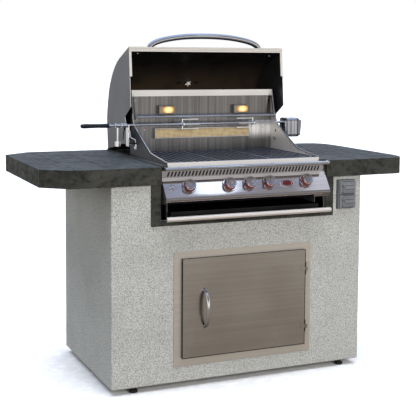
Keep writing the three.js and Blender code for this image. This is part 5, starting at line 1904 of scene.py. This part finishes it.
@dataclass
class Studio:
    """The pale floor, the soft lights and the camera."""

    focal: float = 84.07
    sensor: float = 36.0
    shift: float = -0.1646
    eye: Point = (-1.719, -3.9326, 1.3477)
    right: Point = (0.91573891, -0.40170982, 0.00717443)
    up: Point = (0.02723896, 0.07989001, 0.99643145)
    floor_radius: float = 60.0
    near_sky: tuple[tuple[float, Colour], ...] = (
        (0.0, (0.1, 0.085, 0.07)), (0.4, (0.3, 0.265, 0.235)), (0.48, (1.1, 1.06, 1.0)),
        (0.56, (0.66, 0.65, 0.64)), (0.64, (0.16, 0.16, 0.165)), (0.88, (0.32, 0.325, 0.345)),
        (0.95, (0.45, 0.6, 0.95)), (1.0, (0.45, 0.58, 0.9)),
    )
    far_sky: tuple[tuple[float, Colour], ...] = (
        (0.0, (0.12, 0.1, 0.085)), (0.43, (0.3, 0.27, 0.23)), (0.5, (1.0, 1.0, 1.0)),
        (0.64, (1.0, 1.0, 1.0)), (0.76, (0.4, 0.45, 0.55)), (0.86, (0.42, 0.58, 0.95)),
        (1.0, (0.45, 0.58, 0.9)),
    )
    sky_turn: tuple[float, float] = (-0.35, 0.15)
    lights: tuple[Light, ...] = (
        Light("key", (0.3, -4.8, 2.0), (0.0, 0.0, 0.6), 1.8, 136.0, (1.0, 0.985, 0.965)),
        Light("window", (1.1, -1.66, 3.235), (0.0, -0.35, 0.85), 0.34, 0.6, (0.7, 0.87, 1.0), True),
        Light("far_window", (1.96, -1.64, 3.1), (0.4, -0.35, 0.85), 0.42, 0.28, (0.74, 0.85, 1.0), True),
        Light("side", (-3.6, 1.5, 1.5), (-0.7, 0.0, 0.5), 1.6, 22.0, (0.84, 0.93, 1.0)),
    )
    sun_power: float = 3.6
    sun_angle: float = 70.0
    sight: float = 200.0

    def build(self) -> None:
        """Sets up the floor, the world, the lights and the camera."""
        bpy.context.scene.view_settings.view_transform = "Standard"
        self.camera()
        self.floor()
        self.world()
        for light in self.lights:
            light.hang()
        self.daylight()

    def camera(self) -> None:
        """Stands the camera at the photograph's angle."""
        data = bpy.data.cameras.new("camera")
        data.lens = self.focal
        data.sensor_width = self.sensor
        data.shift_y = self.shift
        data.clip_end = self.sight
        right, up = Vector(self.right).normalized(), Vector(self.up).normalized()
        made = bpy.data.objects.new("camera", data)
        made.matrix_world = Matrix.Translation(self.eye) @ laid_along(right, up, right.cross(up))
        bpy.context.scene.collection.objects.link(made)
        bpy.context.scene.camera = made

    def floor(self) -> None:
        """Lays the round pale floor under the island's feet."""
        shape = Shape()
        bmesh.ops.create_circle(shape.mesh, cap_ends=True, radius=self.floor_radius, segments=96)
        made = shape.placed("studio_floor", Moulded("floor", (0.86, 0.86, 0.86), 0.8, 0.00001))
        made.visible_glossy = made.visible_diffuse = False

    def world(self) -> None:
        """Fills the surroundings with soft light in wide bands, plain white where the camera sees them."""
        world = bpy.data.worlds.new("studio")
        bpy.context.scene.world = world
        world.use_nodes = True
        tree = NodeTree(world.node_tree)
        place = tree.node("ShaderNodeTexCoord", {}, {}).outputs["Generated"]
        parts = tree.node("ShaderNodeSeparateXYZ", {}, {0: place}).outputs
        height = tree.node("ShaderNodeMapRange", {}, {0: parts[2], 1: -1.0}).outputs[0]
        near, far = (
            tree.node("ShaderNodeValToRGB", {"stops": stops}, {0: height}).outputs[0]
            for stops in (self.near_sky, self.far_sky)
        )
        low, high = self.sky_turn
        turn = tree.node("ShaderNodeMapRange", {}, {0: parts[1], 1: low, 2: high}).outputs[0]
        seen = tree.node("ShaderNodeLightPath", {}, {}).outputs["Is Camera Ray"]
        colour = tree.blend(seen, tree.blend(turn, near, far), (1.0, 1.0, 1.0))
        tree.feed(tree.nodes["Background"].inputs["Color"], colour)

    def daylight(self) -> None:
        """Lights the whole floor evenly from straight above."""
        data = bpy.data.lights.new("daylight", "SUN")
        data.energy = self.sun_power
        data.angle = math.radians(self.sun_angle)
        made = bpy.data.objects.new("daylight", data)
        made.visible_glossy = False
        bpy.context.scene.collection.objects.link(made)


def main() -> None:
    """Builds the studio and the island's sub-assemblies in order."""
    logging.basicConfig(level=logging.INFO, format="%(name)s %(message)s")
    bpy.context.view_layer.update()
    Studio().build()
    assemblies = (
        StuccoBase(), Counter(), AccessDoor(), Outlet(), ControlPanel(), CookingDeck(), Hood(), Rotisserie()
    )
    for assembly in assemblies:
        log.info("building %s", type(assembly).__name__)
        assembly.build()


if __name__ == "__main__":
    main()
